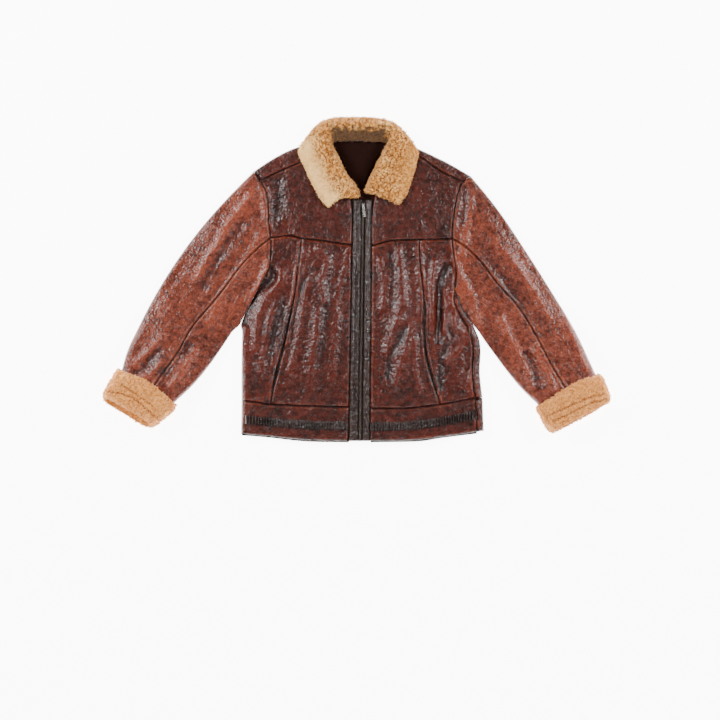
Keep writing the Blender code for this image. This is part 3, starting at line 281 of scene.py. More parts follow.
# %% Thread, tape, facing and metal materials
def fine_finish(name, dark, light, scale, roughness, relief, metallic=0.0, gleam=0.5):
    """A material of two tones in a fine pattern: threads, brushed metal or suede nap."""
    material, tree, surface = new_material(name)
    place = add(tree, "ShaderNodeTexCoord").outputs["Object"]
    across = add(tree, "ShaderNodeTexWave", {"Vector": place, "Scale": scale,
                                             "Distortion": 1.5}).outputs["Fac"]
    down = add(tree, "ShaderNodeTexWave", {"Vector": place, "Scale": scale, "Distortion": 1.5},
               bands_direction="Y").outputs["Fac"]
    spots = add(tree, "ShaderNodeTexNoise", {"Vector": place, "Scale": scale * 2,
                                             "Detail": 4.0}).outputs["Fac"]
    weave = add(tree, "ShaderNodeMath", {0: across, 1: down}, operation="MULTIPLY").outputs[0]
    weave = add(tree, "ShaderNodeMath", {0: weave, 1: spots}, operation="ADD").outputs[0]
    share = add(tree, "ShaderNodeMapRange", {"Value": weave, "From Min": 0.3,
                                             "From Max": 1.3}).outputs[0]
    tone = add(tree, "ShaderNodeMix", {0: share, 6: linear(dark), 7: linear(light)},
               data_type="RGBA").outputs[2]
    tree.links.new(tone, surface.inputs["Base Color"])
    tree.links.new(add(tree, "ShaderNodeMapRange", {
        "Value": spots, "To Min": roughness - 0.08, "To Max": roughness + 0.08}).outputs[0],
        surface.inputs["Roughness"])
    surface.inputs["Metallic"].default_value = metallic
    surface.inputs["Specular IOR Level"].default_value = gleam
    tree.links.new(add(tree, "ShaderNodeBump", {"Height": weave, "Distance": relief * MM,
                                                "Strength": 0.6}).outputs[0],
                   surface.inputs["Normal"])
    return material


thread = fine_finish("waxed_polyester_thread", "#140805", "#35180f", 700.0, 0.55, 0.2)
tape = fine_finish("woven_zip_tape", "#120c0b", "#2b211e", 600.0, 0.8, 0.3)
suede = fine_finish("brown_suede_facing", "#0c0301", "#260a04", 180.0, 0.85, 0.6, gleam=0.1)
plated_zinc = fine_finish("nickel_plated_zinc", "#b9b4ab", "#e4e1da", 400.0, 0.22, 0.05, 1.0)
black_brass = fine_finish("blackened_brass", "#39322c", "#6e655c", 500.0, 0.38, 0.05, 1.0)
print("wool, thread, tape, suede and metals")

# %% [markdown]
# ## Making a fine piece from a coarse solid
# The CAD solids have few faces. A copy of each is welded, its triangles are joined to
# four-sided faces, and it is subdivided with creased rims, so the outline stays where the CAD
# has it. On the coarse copy we mark `top`, what can be seen from above, and `rim`, the edge
# of the top. Subdivision carries both marks along.


# %% Fine copies of the CAD solids
def welded(node):
    mesh = bmesh.new()
    mesh.from_mesh(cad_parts[node].data)
    bmesh.ops.remove_doubles(mesh, verts=mesh.verts, dist=0.01 * MM)
    return mesh


def with_modifier(data, kind, **settings):
    """Run one modifier on a mesh and return the result."""
    holder = bpy.data.objects.new("holder", data)
    bpy.context.collection.objects.link(holder)
    modifier = holder.modifiers.new("step", kind)
    for name, value in settings.items():
        setattr(modifier, name, value)
    shown = holder.evaluated_get(bpy.context.evaluated_depsgraph_get())
    result = bpy.data.meshes.new_from_object(shown)
    bpy.data.objects.remove(holder)
    bpy.data.meshes.remove(data)
    return result


def read(data, name):
    values = np.zeros(len(data.vertices), np.float32)
    data.attributes[name].data.foreach_get("value", values)
    return values


def store(data, name, values):
    layer = data.attributes.get(name) or data.attributes.new(name, "FLOAT", "POINT")
    layer.data.foreach_set("value", np.asarray(values, np.float32))


def places_of(data):
    values = np.zeros(len(data.vertices) * 3, np.float32)
    data.vertices.foreach_get("co", values)
    return values.reshape(-1, 3)


def set_places(data, places):
    data.vertices.foreach_set("co", places.astype(np.float32).ravel())
    data.update()


def fine_copy(node, level):
    mesh = welded(node)
    bmesh.ops.join_triangles(mesh, faces=mesh.faces, angle_face_threshold=math.radians(40),
                             angle_shape_threshold=math.radians(80))
    crease = mesh.edges.layers.float.new("crease_edge")
    top = mesh.verts.layers.float.new("top")
    rim = mesh.verts.layers.float.new("rim")
    mesh.normal_update()
    tree = BVHTree.FromBMesh(mesh)
    for corner in mesh.verts:
        open_above = tree.ray_cast(corner.co + UP * 0.2 * MM, UP)[0] is None
        corner[top] = float(corner.normal.z > 0.1 and open_above)
    for edge in mesh.edges:
        if edge.calc_face_angle(0.0) > math.radians(50):
            edge[crease] = 1.0
            for corner in edge.verts:
                corner[rim] = corner[top]
    data = bpy.data.meshes.new(node)
    mesh.to_mesh(data)
    mesh.free()
    return with_modifier(data, "SUBSURF", levels=level, render_levels=level)


def half_area(data):
    return sum(face.area for face in data.polygons) / 2


LEVEL = {"back": 2, "back_band": 2, "hem_strip_left": 4, "hem_strip_right": 4,
         "placket_left": 3, "placket_right": 3, "pocket_welt_left": 3, "pocket_welt_right": 3,
         "neck_facing": 3, "zip_chain": 2}
LEATHER = [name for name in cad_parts
           if not name.startswith(("cuff", "collar", "zip", "neck"))]
cloth = {name: fine_copy(name, LEVEL.get(name, 3)) for name in LEATHER}
print("fine leather:", sum(len(data.polygons) for data in cloth.values()), "faces")

# %% [markdown]
# ## Folds
# Heavy, soft leather makes few, rounded folds. Each line below is one fold, read off the
# picture: how far it reaches to each side, how high it stands (or how deep it goes, below
# zero), and the places that it runs through.

# %% The folds
FOLDS = (
    # reach in mm, height in mm, places in the picture
    (9, 3.5, (318, 249), (326, 258), (327, 267), (321, 280), (323, 292), (325, 302)),
    (9, 2.5, (349, 250), (346, 267), (342, 280), (337, 296), (336, 309)),
    (8, 3.0, (305, 251), (301, 271), (297, 292), (294, 312), (286, 345)),
    (7, -3.0, (304, 280), (297, 305), (291, 330)),
    (8, 2.5, (307, 285), (303, 310), (298, 340), (290, 372)),
    (9, -6.0, (271, 268), (273, 278), (260, 291), (250, 308), (245, 322)),
    (8, 4.0, (267, 262), (262, 276), (249, 301)),
    (10, 4.0, (281, 273), (279, 282), (268, 296), (258, 318), (255, 350)),
    (10, -3.0, (285, 300), (276, 330), (268, 360)),
    (10, 3.0, (272, 312), (268, 335), (262, 372)),
    (13, -3.0, (277, 182), (279, 200), (276, 218)),
    (10, 2.5, (264, 190), (266, 206), (268, 225)),
    (12, 2.5, (318, 310), (316, 335), (312, 362), (310, 390)),
    (9, -2.0, (326, 305), (324, 335), (320, 365)),
    (10, 2.5, (338, 315), (334, 345), (332, 380)),
    (7, -7.0, (447, 266), (441, 282), (439, 303), (439, 320), (438, 342)),
    (8, 4.0, (434, 262), (431, 285), (432, 306), (432, 330)),
    (8, 4.0, (444, 290), (446, 312), (443, 330)),
    (7, 3.5, (450, 298), (451, 314), (453, 326)),
    (6, 3.0, (455, 300), (455, 314), (456, 326), (462, 331), (466, 336)),
    (6, -3.0, (448, 312), (448, 328), (452, 338)),
    (8, 3.5, (466, 338), (458, 352), (446, 360)),
    (8, 3.0, (471, 372), (469, 384), (470, 392)),
    (8, -3.5, (447, 345), (441, 362), (440, 378), (440, 388)),
    (7, 3.0, (415, 340), (415, 357), (416, 376), (420, 390)),
    (9, 4.0, (402, 305), (395, 325), (389, 340), (387, 352)),
    (8, -4.0, (404, 330), (397, 345), (390, 358), (388, 376)),
    (10, 4.0, (413, 322), (405, 354), (398, 372), (396, 384)),
    (9, 3.0, (399, 250), (401, 270), (403, 290), (402, 305)),
    (9, 2.5, (380, 262), (384, 285), (382, 310)),
    (8, -2.0, (391, 255), (393, 280), (391, 305)),
    (9, 3.0, (417, 250), (419, 275), (421, 298), (420, 320)),
    (9, -3.5, (463, 190), (465, 205), (462, 222)),
    (9, 3.0, (470, 200), (468, 218), (465, 238), (462, 255)),
    (9, 3.0, (455, 262), (462, 280), (472, 300), (476, 318)),
    (10, 3.5, (500, 318), (510, 340), (521, 356), (530, 372)),
    (8, -5.0, (524, 354), (531, 368), (537, 385)),
    (9, 3.0, (536, 352), (546, 372), (552, 388)),
    (10, 2.5, (492, 240), (512, 262), (532, 290), (548, 318)),
    (10, -2.5, (486, 256), (506, 284), (524, 312)),
    (10, 2.5, (566, 322), (576, 346), (584, 366)),
    (10, 2.5, (246, 330), (247, 380), (246, 420)),
    (11, 3.0, (250, 196), (232, 222), (215, 250), (196, 280)),
    (11, -2.5, (240, 226), (220, 258), (204, 285)),
    (10, 3.0, (262, 236), (245, 262), (226, 292), (210, 322)),
    (9, -3.5, (190, 345), (178, 360), (166, 372)),
    (9, 3.0, (196, 350), (184, 372), (172, 386)),
    (8, 2.5, (165, 336), (150, 352), (138, 362)),
    (8, -2.5, (160, 350), (146, 366), (138, 372)),
    (8, 2.5, (163, 362), (152, 374), (142, 378)),
)


def distance_to(x, y, points):
    """Distance in mm from each place to a line through the points."""
    nearest = np.full(len(x), 1e9)
    for (x0, y0), (x1, y1) in zip(points, points[1:]):
        dx, dy = x1 - x0, y1 - y0
        along = np.clip(((x - x0) * dx + (y - y0) * dy) / (dx * dx + dy * dy), 0, 1)
        nearest = np.minimum(nearest, np.hypot(x - x0 - along * dx, y - y0 - along * dy))
    return nearest


def smooth_line(points, step):
    """Places every step mm along a smooth curve through the points."""
    knots = [Vector(point) for point in points]
    knots = [2 * knots[0] - knots[1]] + knots + [2 * knots[-1] - knots[-2]]
    line = []
    for a, b, c, d in zip(knots, knots[1:], knots[2:], knots[3:]):
        parts = max(1, round((c - b).length / step))
        for part in range(parts):
            t = part / parts
            line.append(0.5 * (2 * b + (c - a) * t + (2 * a - 5 * b + 4 * c - d) * t * t
                               + (3 * b - a - 3 * c + d) * t**3))
    return line + [knots[-2]]


def fold_height(x, y):
    lift = np.zeros(len(x))
    for reach, rise, *places in FOLDS:
        line = smooth_line([at(*place) for place in places], 12.0)
        lift += 1.35 * rise * np.exp(-(distance_to(x, y, line) / reach)**2)
    return lift


print(len(FOLDS), "folds")

# %% [markdown]
# ## Small wrinkles
# Between the folds the leather is lightly crumpled. The wrinkles run down the fronts and along
# the sleeves, so the noise is stretched in that direction before it is read.

# %% Wrinkles
SLEEVE_TURN = math.atan2(320, 440)      # the sleeves lean this far from straight down


def wrinkle_height(x, y, node):
    turn = 0.0
    if node.startswith("sleeve"):
        turn = SLEEVE_TURN if node.endswith("left") else -SLEEVE_TURN
    across = x * math.cos(turn) + y * math.sin(turn)
    down = y * math.cos(turn) - x * math.sin(turn)
    long_waves = np.array([noise.noise((u / 26, v / 90, 3.0)) for u, v in zip(across, down)])
    crumple = np.array([noise.fractal((u / 17, v / 30, 8.0), 0.9, 2.1, 3)
                        for u, v in zip(across, down)])
    return 1.6 * long_waves + 0.9 * crumple


print("wrinkles of", 1.6 + 0.9, "mm at most")

# %% [markdown]
# ## Seams
# Where two panels are sewn, the seam pulls down into a groove and the folded allowance under it makes a
# soft ridge beside it. Both follow from the distance to the rim, which a search tree finds. The same
# distance says where the leather is rubbed, and where the groove is painted dark with dirt and painted
# shade.

# %% Shape each panel
covers = [BVHTree.FromBMesh(welded(name)) for name in ("collar", "cuff_left", "cuff_right")]
LOWEST_FRONT = 10.4           # mm, just above the inner skin of the fronts
ARMPITS = (((-222, 33), (-242.5, -5.5), (-269, -58), (-286.5, -92), (-299, -127)),
           ((223, -20), (228, -42), (242, -69.5), (259.5, -94), (284, -135)))


def averaged(data, values, times):
    """Spread values over a mesh by taking the mean of neighbours."""
    pairs = np.zeros(len(data.edges) * 2, np.int64)
    data.edges.foreach_get("vertices", pairs)
    a, b = pairs[0::2], pairs[1::2]
    count = np.bincount(pairs, minlength=len(values))
    for _ in range(times):
        total = np.bincount(a, values[b], len(values)) + np.bincount(b, values[a], len(values))
        values = 0.5 * values + 0.5 * total / np.maximum(count, 1)
    return values


def close_armpits(node, places):
    """Press the sleeve and the side together below the armpit, where they touch."""
    x, y = places[:, 0] / MM, places[:, 1] / MM
    for line in ARMPITS:
        far = distance_to(x, y, line)
        near = np.flatnonzero(far < 30)
        for index in near:
            spot = Vector((x[index], y[index]))
            best = min((closest(spot, Vector(a), Vector(b)) for a, b in zip(line, line[1:])),
                       key=lambda foot: (foot - spot).length)
            fade = math.exp(-(far[index] / 16)**2) * min(1.0, max(0.0, (y[index] + 122) / 14))
            move = (best - spot) * (min(0.98, 6.5 / max(far[index], 0.1)) * fade)
            places[index, 0] += move.x * MM
            places[index, 1] += move.y * MM
    return places


def closest(spot, start, stop):
    way = stop - start
    return start + way * min(1.0, max(0.0, (spot - start).dot(way) / way.length_squared))


def rim_distance(data, places):
    pairs = np.zeros(len(data.edges) * 2, np.int64)
    data.edges.foreach_get("vertices", pairs)
    crease = np.zeros(len(data.edges), np.float32)
    data.attributes["crease_edge"].data.foreach_get("value", crease)
    marked = np.unique(pairs.reshape(-1, 2)[crease > 0.99])
    marked = marked[read(data, "rim")[marked] > 0.5]
    tree = KDTree(max(1, len(marked)))
    for index in marked:
        tree.insert(places[index], int(index))
    tree.balance()
    if not len(marked):
        return np.full(len(places), 100.0)
    return np.array([tree.find(place)[2] for place in places]) / MM


def shape_panel(node, data):
    places = places_of(data)
    x, y = places[:, 0] / MM, places[:, 1] / MM
    seam = rim_distance(data, places)
    folds = fold_height(x, y)
    free = np.array([float(not any(tree.ray_cast(Vector(place), UP, 0.06)[0]
                                   for tree in covers)) for place in places])
    free = averaged(data, free, 6)
    ridge = 1.3 * np.exp(-((seam - 5.0) / 2.8)**2) - 1.8 * np.exp(-(seam / 1.8)**2)
    if node.startswith("hem_strip"):
        ridge = 2.1 * np.sin(x / 6.6 * 2 * math.pi + 1.5 * np.sin(x / 17)) - 1.0 * np.exp(-(seam / 1.5)**2)
    lift = np.maximum(folds + wrinkle_height(x, y, node), -6.0) * free + ridge
    top = read(data, "top")
    low = np.minimum(places[:, 2], 0.0 if node.startswith("sleeve") else LOWEST_FRONT * MM)
    raised = places[:, 2] + lift * MM
    places[:, 2] += (np.maximum(raised, low) - places[:, 2]) * top
    places = close_armpits(node, places)
    set_places(data, places)
    store(data, "wear", np.exp(-((seam - 4.2) / 2.6)**2))
    # Mask of the seam groove, painted near black by the leather: dirt and painted shade.
    store(data, "soil", 0.5 * np.exp(-(seam / 1.4)**2) * top)
    # Fold height, which the leather paints lighter on crests (wear and painted highlight) and darker in
    # troughs (painted shade).
    store(data, "ridge", np.clip(folds / 22.0, -0.2, 0.2))


for node, data in cloth.items():
    shape_panel(node, data)
print("panels shaped")

# %% [markdown]
# ## Putting the panels in place
# Each panel takes the place of its CAD solid and rides on the jacket.

# %% Leather pieces
def show(data, name, material, node=None, body="jacket"):
    for face in data.polygons:
        face.use_smooth = True
    data.materials.clear()
    data.materials.append(material)
    piece = bpy.data.objects.new(name, data)
    bpy.context.collection.objects.link(piece)
    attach(piece, body)
    if node:
        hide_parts(node)
    return piece


pieces = {}
for node, data in cloth.items():
    kind = "leather"
    if node.startswith("side_front"):
        kind = "side_leather"
    if node.startswith(("placket", "hem_strip")):
        kind = "dark_leather"
    finish = {"leather": body_leather, "side_leather": side_leather,
              "dark_leather": dark_leather}[kind]
    if node.startswith("sleeve"):
        finish = sleeve_leather
    data.set_sharp_from_angle(angle=math.radians(60))
    pieces[node] = show(data, node + "_hide", finish, node)

# %% [markdown]
# ## Curly wool
# The collar and cuffs are the wool side. A voxel remesh gives an even fine mesh without rims, and each
# point that is free to the air is pushed out by a cellular pattern of 6 mm domes: those are the curls.
# Their height is kept for the colour, which makes the hollows between them darker as painted shade.

# %% Wool surfaces
grounds = [BVHTree.FromBMesh(welded(name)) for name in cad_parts
           if not name.startswith(("cuff", "collar"))]
CURL = 5.4
STAND_TOP, STAND_HALF = 369, 72     # mm, where the painted shade on the stand of the collar ends
CUFF_SEAMS = {
    "cuff_right": (((124, 384.5), (138, 394), (154, 405)),
                   ((108, 391), (130, 395.5), (148, 408), (162, 422))),
    "cuff_left": (((545, 416), (563, 408), (586, 398), (602, 394)),
                  ((552, 421), (568, 413), (586, 404), (608, 398))),
}


def wool_copy(node, voxel):
    mesh = welded(node)
    data = bpy.data.meshes.new(node)
    mesh.to_mesh(data)
    mesh.free()
    data = with_modifier(data, "REMESH", mode="VOXEL", voxel_size=voxel * MM)
    return with_modifier(data, "SMOOTH", factor=0.5, iterations=9)


def bare_share(places, ways):
    """1 where nothing lies within 9 mm outside the surface, or else 0."""
    values = []
    for place, way in zip(places, ways):
        start, way = Vector(place), Vector(way)
        start = start + way * 0.5 * MM
        near = way.z < -0.3 and start.z / -way.z < 9 * MM
        near = near or any(tree.ray_cast(start, way, 9 * MM)[0] for tree in grounds)
        values.append(0.0 if near else 1.0)
    return np.array(values)


def normals_of(data):
    values = np.zeros(len(data.vertices) * 3, np.float32)
    data.vertices.foreach_get("normal", values)
    return values.reshape(-1, 3)


def curl_wool(node, data):
    places, ways = places_of(data), normals_of(data)
    x, y = places[:, 0] / MM, places[:, 1] / MM
    bare = averaged(data, bare_share(places, ways), 4)
    domes, lumps, tufts = [], [], []
    for place in places:
        bent = Vector(place) + noise.noise_vector(Vector(place) / (9 * MM)) * 1.6 * MM
        nearest = noise.voronoi(bent / (CURL * MM))[0][0]
        domes.append(max(0.0, 1.0 - nearest / 0.62))
        lumps.append(noise.noise(Vector(place) / (24 * MM)))
        tufts.append(noise.noise(Vector(place) / (9 * MM)))
    domes, lumps, tufts = np.array(domes), np.array(lumps), np.array(tufts)
    pale = np.zeros(len(x))
    curly = np.ones(len(x))
    if node == "collar":
        outer = distance_to(x, y, [at(*p) for p in ((305, 150), (309, 164), (317, 180), (330, 202))])
        pale = np.exp(-(outer / 24)**2)
        other = distance_to(x, y, [at(*p) for p in ((414, 152), (410, 171), (404, 190))])
        curly = 1 - 0.62 * pale - 0.45 * np.exp(-(other / 22)**2)
    else:
        curly = 0.55 * curly
    groove = np.zeros(len(x))
    for line in CUFF_SEAMS.get(node, ()):
        groove += np.exp(-(distance_to(x, y, smooth_line([at(*p) for p in line], 6.0)) / 2.0)**2)
    lift = (3.2 * np.sqrt(domes) * curly + 1.6 * lumps + 1.2 * tufts - 0.6) - 3.0 * groove
    places = places + ways * (bare * lift * MM)[:, None]
    places[:, 2] = np.maximum(places[:, 2], 0.0)
    set_places(data, places)
    # Curl height for the colour: low in the hollows between curls and in the cuff seam grooves, which the
    # wool paints darker as painted shade.
    store(data, "tip_and_hollow_shade", np.clip(domes * curly + 0.35 * (1 - curly) - 0.5 * groove, 0, 1))
    # Marks the stand of the collar for painted shade.
    stand = np.zeros(len(x))
    if node == "collar":
        ragged = 14 * tufts
        stand = (np.clip((STAND_TOP - y + ragged) / 9, 0, 1) * np.clip((y - 300) / 10, 0, 1)
                 * np.clip((STAND_HALF - abs(x + 6) + ragged) / 10, 0, 1) * (ways[:, 1] < 0.35))
    store(data, "pale", pale)
    store(data, "stand_shade", averaged(data, stand, 3))
    store(data, "bare", bare)
    return data


wool = {}
for node, voxel in (("collar", 1.6), ("cuff_right", 1.5), ("cuff_left", 1.5)):
    data = curl_wool(node, wool_copy(node, voxel))
    finish = collar_wool if node == "collar" else cuff_wool
    wool[node] = show(data, node + "_wool", finish, node)
    print(f"{node}: made {half_area(data):.4f} m2, {len(data.polygons)} faces")

# %% [markdown]
# ## Loose locks
# Real wool never ends in a clean line. Short bent locks grow from random points of the wool,
# all joined in one mesh per piece, and break up its outline.

# %% Locks
random.seed(11)


def locks(name, data, count, length, material):
    places, ways = places_of(data), normals_of(data)
    bare, base_tip = read(data, "bare"), read(data, "tip_and_hollow_shade")
    pale, stand_shade = read(data, "pale"), read(data, "stand_shade")
    chosen = random.sample([i for i in range(len(places)) if bare[i] > 0.9], count)
    points, faces, tips, pales, insides = [], [], [], [], []
    for index in chosen:
        place, way = Vector(places[index]), Vector(ways[index])
        lean = Vector([random.uniform(-1, 1) for _ in range(3)])
        side = way.cross(lean).normalized()
        lean = (way + 0.9 * lean).normalized()
        curl = (lean + 1.3 * way.cross(side) * random.choice((-1, 1))).normalized()
        reach = length * random.uniform(0.6, 1.3) * MM
        middle = place + lean * reach * 0.5
        end = middle + curl * reach * 0.5
        third = way.cross(side).normalized()
        first = len(points)
        # The root of each lock gets a lower value than its end, so it is painted darker, as painted shade.
        for centre, radius, tip_and_hollow_shade in ((place - way * 0.6 * MM, 1.0, 0.3), (middle, 0.75, 0.75)):
            for turn in range(3):
                angle = turn * 2 * math.pi / 3
                spot = centre + (side * math.cos(angle) + third * math.sin(angle)) * radius * MM
                points.append((spot.x, spot.y, max(spot.z, 0.0)))
                tips.append(tip_and_hollow_shade * (0.5 + 0.5 * base_tip[index]))
        points.append((end.x, end.y, max(end.z, 0.0)))
        tips.append(1.0)
        pales.extend([pale[index]] * 7)
        insides.extend([stand_shade[index]] * 7)
        for turn in range(3):
            after = (turn + 1) % 3
            faces.append((first + turn, first + after, first + 3 + after, first + 3 + turn))
            faces.append((first + 3 + turn, first + 3 + after, first + 6))
    mesh = bpy.data.meshes.new(name)
    mesh.from_pydata(points, [], faces)
    store(mesh, "tip_and_hollow_shade", tips)
    store(mesh, "pale", pales)
    store(mesh, "stand_shade", insides)
    return show(mesh, name, material)


for node, count in (("collar", 6500), ("cuff_right", 2600), ("cuff_left", 2600)):
    finish = collar_wool if node == "collar" else cuff_wool
    locks(node + "_locks", wool[node].data, count, 4.2, finish)

# %% [markdown]
# ## Sewing
# A stitch is a short thread that dives at both ends. One small spindle stands for it, laid on
# the leather by a ray from above and turned along the seam. All the stitches of a seam are
# one mesh. The rows stand 2.5 and 8 mm from the seam.

# %% Stitches
top_mesh = bmesh.new()
for piece in pieces.values():
    top_mesh.from_mesh(piece.data)
surface_tree = BVHTree.FromBMesh(top_mesh)
top_mesh.free()


def on_top(x, y):
    found = surface_tree.ray_cast(Vector((x * MM, y * MM, 0.2)), -UP)
    return (found[0], found[1]) if found[0] else (Vector((x * MM, y * MM, 0.017)), UP)


def beside(points, distance):
    """Move a line sideways, to its left for a distance above 0."""
    line = smooth_line(points, 4.0)
    moved = []
    for index, place in enumerate(line):
        way = line[min(index + 1, len(line) - 1)] - line[max(index - 1, 0)]
        moved.append(place + Vector((-way.y, way.x)).normalized() * distance)
    return moved


SPINDLE = ((-0.5, 0.0), (-0.32, 0.8), (0.0, 1.0), (0.32, 0.8), (0.5, 0.0))
SIDES = 4


def stitch_mesh(name, lines, pitch=4.2, length=3.7, radius=0.75):
    points, faces = [], []
    for line in lines:
        even = smooth_line(line, 1.0)
        travelled = [0.0]
        for a, b in zip(even, even[1:]):
            travelled.append(travelled[-1] + (b - a).length)
        for step in range(int(travelled[-1] / pitch)):
            index = int(np.searchsorted(travelled, (step + 0.5) * pitch))
            index = min(max(index, 1), len(even) - 2)
            place, up = on_top(even[index].x, even[index].y)
            way = even[index + 1] - even[index - 1]
            way = Vector((way.x, way.y, 0)).normalized()
            way = (way - up * way.dot(up)).normalized()
            side = way.cross(up)
            place = place + up * radius * 0.35 * MM
            first = len(points)
            for along, share in SPINDLE:
                ring = 1 if share == 0.0 else SIDES
                for turn in range(ring):
                    angle = turn * 2 * math.pi / SIDES
                    out = (side * math.cos(angle) + up * math.sin(angle)) * share * radius
                    points.append(place + (way * along * length + out) * MM)
            rows = [[first], *[[first + 1 + SIDES * r + t for t in range(SIDES)] for r in range(3)],
                    [first + 1 + 3 * SIDES]]
            for low, high in zip(rows, rows[1:]):
                for turn in range(SIDES):
                    after = (turn + 1) % SIDES
                    loop = [low[turn % len(low)], low[after % len(low)],
                            high[after % len(high)], high[turn % len(high)]]
                    faces.append(list(dict.fromkeys(loop)))
    mesh = bpy.data.meshes.new(name)
    mesh.from_pydata(points, [], faces)
    return show(mesh, name, thread)


SEAMS = {
    # name: rows beside the seam in mm, then places on the seam in mm
    "yoke_right": ((2.5, 9.5), (-216, 103), (-170, 108), (-145, 101), (-96, 96), (-27, 86)),
    "yoke_left": ((-2.5, -9.5), (214, 101), (138, 98), (70, 96), (26, 84)),
    "shoulder_right": ((-2.5, -9.0), (-243, 240), (-178, 271), (-125, 293), (-101, 303)),
    "shoulder_left": ((2.5, 9.0), (238, 238), (187, 262), (136, 300), (100, 312)),
    "pocket_right": ((-2.5, -9.5), (-217, -294), (-214, -262), (-202, -214), (-187, -154),
                     (-173, -89), (-160, -26), (-151, 55), (-146, 98)),
    "pocket_left": ((2.5, 9.5), (186, -294), (166, -226), (153, -175), (149, -115), (149, -46),
                    (139, 46), (138, 95)),
    "sleeve_right": ((-2.5, -9.0), (-221, 100), (-256, 72), (-293, 31), (-341, -34), (-410, -115),
                     (-439, -173), (-475, -220)),
    "sleeve_left": ((2.5, 9.0), (219, 99), (252, 79), (290, 38), (331, -17), (377, -65),
                    (422, -144), (469, -233)),
    "armhole_right": ((2.8, 8.0), (-222, 36), (-218, 62), (-218, 103), (-223, 138), (-223, 170),
                      (-229, 214), (-244, 238)),
    "armhole_left": ((-2.8, -8.0), (225, -8), (228, 14), (220, 56), (216, 101), (218, 144),
                     (228, 202), (239, 236)),
    "band_right": ((-2.5,), (-287, -286), (-250, -291), (-218, -296), (-110, -300), (-33, -302)),
    "band_left": ((-2.5,), (20, -305), (108, -305), (187, -296), (223, -290), (270, -281)),
    "hem_right": ((4.0,), (-288, -367), (-219, -373), (-133, -382), (-34, -384)),
    "hem_left": ((4.0,), (20, -384), (132, -382), (188, -374), (275, -363)),
    "side_left": ((3.0,), (226, -52), (254, -100), (264, -165), (267, -215), (270, -278)),
}
sewing = []
for seam, (rows, *places) in SEAMS.items():
    sewing.append(stitch_mesh("stitches_" + seam, [beside(places, row) for row in rows]))
bag = [at(*p) for p in ((385, 324), (379, 338), (378, 357), (380, 376.5), (383.5, 389),
                        (393, 395), (407, 396), (424, 395))]
sewing.append(stitch_mesh("stitches_pocket_bag", [bag]))
print(len(sewing), "seams,", sum(len(piece.data.polygons) for piece in sewing), "faces")

# %% [markdown]
# ## Seam allowances
# Under each seam the edges of the hides are turned in. A narrow strip within the wall stands for them,
# painted fully dark as the painted shade of the seam, and closes the seam, which would let the light table
# shine through.

# %% Strips in the seams
BACK_SEAM = ((-60, -302.4), (60, -302.4))    # under the zip, where the gap would show the floor
BACK_SEAM_HEIGHT = 6.0
points, faces = [], []
gaps = [places for _, *places in SEAMS.values()]
gaps += [((262, -280.5), (285, -279.7)), ((-222, 36), (-232, 12), (-240, -4)),
         ((225, -8), (224, -26), (229, -40), (237, -60), (246, -77), (263.5, -101)),
         ((-258, 258), (-251.5, 249), (-244, 240)), BACK_SEAM]
for places in gaps:
    line = smooth_line(places, 5.0)
    for index, place in enumerate(line):
        way = line[min(index + 1, len(line) - 1)] - line[max(index - 1, 0)]
        out = Vector((-way.y, way.x)).normalized()
        heights = [BACK_SEAM_HEIGHT] * 2
        if places is not BACK_SEAM:
            heights = [on_top(*(place + out * step))[0].z / MM for step in (-7, 7)]
        for step, height in zip((-3.0, 3.0), heights):
            for drop in (3.2, 4.4):
                spot = place + out * step
                points.append(Vector((spot.x, spot.y, height - drop)) * MM)
        if index:
            first = len(points) - 8
            for a, b in ((0, 1), (1, 3), (3, 2), (2, 0)):
                faces.append((first + a, first + b, first + 4 + b, first + 4 + a))
turned_mesh = bpy.data.meshes.new("seam_allowances")
turned_mesh.from_pydata(points, [], faces)
# The strips take the full dark seam colour: painted shade filling the seam.
for name in ("wear", "soil", "ridge"):
    store(turned_mesh, name, [1.0 if name == "soil" else 0.0] * len(points))
turned = show(turned_mesh, "seam_allowances", body_leather)
print("seam allowances:", len(faces), "faces")

# %% [markdown]
# ## The zip
# The tape is woven, the teeth are stamped from wire and clamped on it, one side between the
# other. A tooth is a small wedge, wide at the tape and narrow where it meshes.

# %% Zip and facing
for node, name, finish, slot in (("zip_chain", "zip_tape", tape, "tape"),
                                 ("neck_facing", "neck_facing_suede", suede, "facing")):
    data = fine_copy(node, LEVEL[node])
    places = places_of(data)
    wobble = np.array([noise.noise(Vector(place) / (14 * MM)) for place in places])
    places[:, 2] += 0.5 * MM * wobble * read(data, "top")
    if node == "neck_facing":
        far = np.clip((places[:, 1] / MM - 290) / 36, 0, 1)
        places[:, 0] += 0.2 * (places[:, 0] + 6 * MM) * far
        places[:, 1] += 17 * MM * far**2
    set_places(data, places)
    data.set_sharp_from_angle(angle=math.radians(60))
    pieces[node] = show(data, name, finish, node)

ZIP_TOP, ZIP_BOTTOM = 170.0, -382.0
TOOTH = 3.0


def zip_line(y):
    share = (196.0 - y) / 580.0
    return 3.5 - 8.5 * share


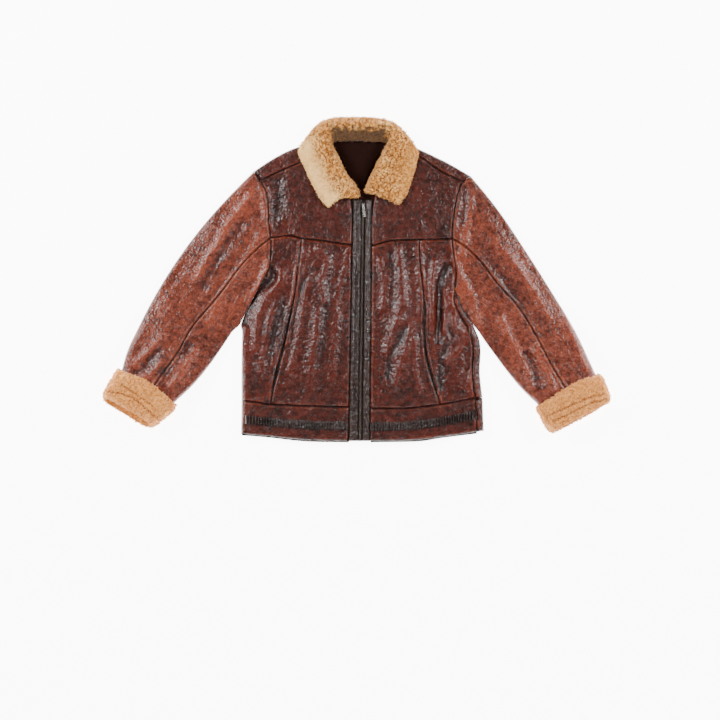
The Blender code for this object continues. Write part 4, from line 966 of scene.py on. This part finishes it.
points, faces = [], []
for number in range(int((ZIP_TOP - ZIP_BOTTOM) / (TOOTH / 2))):
    y = ZIP_TOP - number * TOOTH / 2
    way = -1 if number % 2 else 1
    first = len(points)
    for x, half, low, high in ((2.9, 0.75, 16.2, 17.6), (0.4, 0.95, 16.2, 18.4),
                               (-0.9, 0.5, 16.4, 18.0)):
        for dy, z in ((-half, low), (half, low), (half, high), (-half, high)):
            points.append(((zip_line(y) + way * x) * MM, (y + dy) * MM, z * MM))
    for ring in (0, 4):
        for turn in range(4):
            after = (turn + 1) % 4
            faces.append((first + ring + turn, first + ring + after,
                          first + ring + 4 + after, first + ring + 4 + turn))
    faces.append((first + 3, first + 2, first + 1, first))
    faces.append((first + 8, first + 9, first + 10, first + 11))
teeth_mesh = bpy.data.meshes.new("zip_teeth")
teeth_mesh.from_pydata(points, [], faces)
builder = bmesh.new()
builder.from_mesh(teeth_mesh)
bmesh.ops.recalc_face_normals(builder, faces=builder.faces[:])
builder.to_mesh(teeth_mesh)
builder.free()
teeth = show(teeth_mesh, "zip_teeth", black_brass)
for node in ("zip_slider", "zip_pull"):
    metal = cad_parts[node]
    metal.data.materials.clear()
    metal.data.materials.append(plated_zinc)
print("teeth:", len(teeth_mesh.polygons), "faces")

# %% [markdown]
# ## Wool under the hem
# The lining wool shows as an orange fringe under the right front's hem.

# %% Fringe
random.seed(5)
points, faces, tips = [], [], []
for number in range(520):
    column = random.uniform(279, 349)
    x = (column - ZIP_COLUMN) * PIXEL
    y = np.interp(x, (-219, -133, -33), (-373, -382, -384)) + random.uniform(-1.0, 3.0)
    base = Vector((x, y, random.uniform(9.5, 13.0)))
    way = Vector((random.uniform(-0.9, 0.9), -1, random.uniform(-0.6, 0.4))).normalized()
    side = way.cross(UP).normalized()
    reach = random.uniform(2.5, 5.5)
    first = len(points)
    # The root of each fringe lock gets a lower value than its end, so it is painted darker, as painted
    # shade.
    for along, radius, tip_and_hollow_shade in ((0.0, 1.1, 0.2), (0.6, 0.8, 0.6)):
        for turn in range(3):
            angle = turn * 2 * math.pi / 3
            spot = base + way * reach * along + (side * math.cos(angle) + UP * math.sin(angle)) * radius
            points.append(spot * MM)
            tips.append(tip_and_hollow_shade)
    points.append((base + way * reach + side * random.uniform(-1.5, 1.5)) * MM)
    tips.append(0.9)
    for turn in range(3):
        after = (turn + 1) % 3
        faces.append((first + turn, first + after, first + 3 + after, first + 3 + turn))
        faces.append((first + 3 + turn, first + 3 + after, first + 6))
fringe_mesh = bpy.data.meshes.new("hem_wool")
fringe_mesh.from_pydata(points, [], faces)
store(fringe_mesh, "tip_and_hollow_shade", tips)
store(fringe_mesh, "pale", [0.0] * len(tips))
store(fringe_mesh, "stand_shade", [0.0] * len(tips))
show(fringe_mesh, "hem_wool", lining_wool)
print("fringe:", len(fringe_mesh.polygons), "faces")

# %% [markdown]
# ## White table
# A matt white sheet of paper under everything.

# %% Floor material
paper, paper_tree, paper_surface = new_material("white_paper")
grain = add(paper_tree, "ShaderNodeTexNoise", {"Scale": 40.0, "Detail": 3.0}).outputs["Fac"]
tone = add(paper_tree, "ShaderNodeMix", {0: grain, 6: linear("#fbfbfb"), 7: linear("#ffffff")},
           data_type="RGBA").outputs[2]
paper_tree.links.new(tone, paper_surface.inputs["Base Color"])
paper_surface.inputs["Roughness"].default_value = 0.9
paper_surface.inputs["Emission Color"].default_value = (1, 1, 1, 1)
paper_surface.inputs["Emission Strength"].default_value = 9.0
floor_mesh.materials.append(paper)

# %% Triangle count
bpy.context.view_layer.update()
shown = [o.data for o in bpy.data.objects if o.type == "MESH"]
print("triangles:", sum(len(data.loops) - 2 * len(data.polygons) for data in shown))
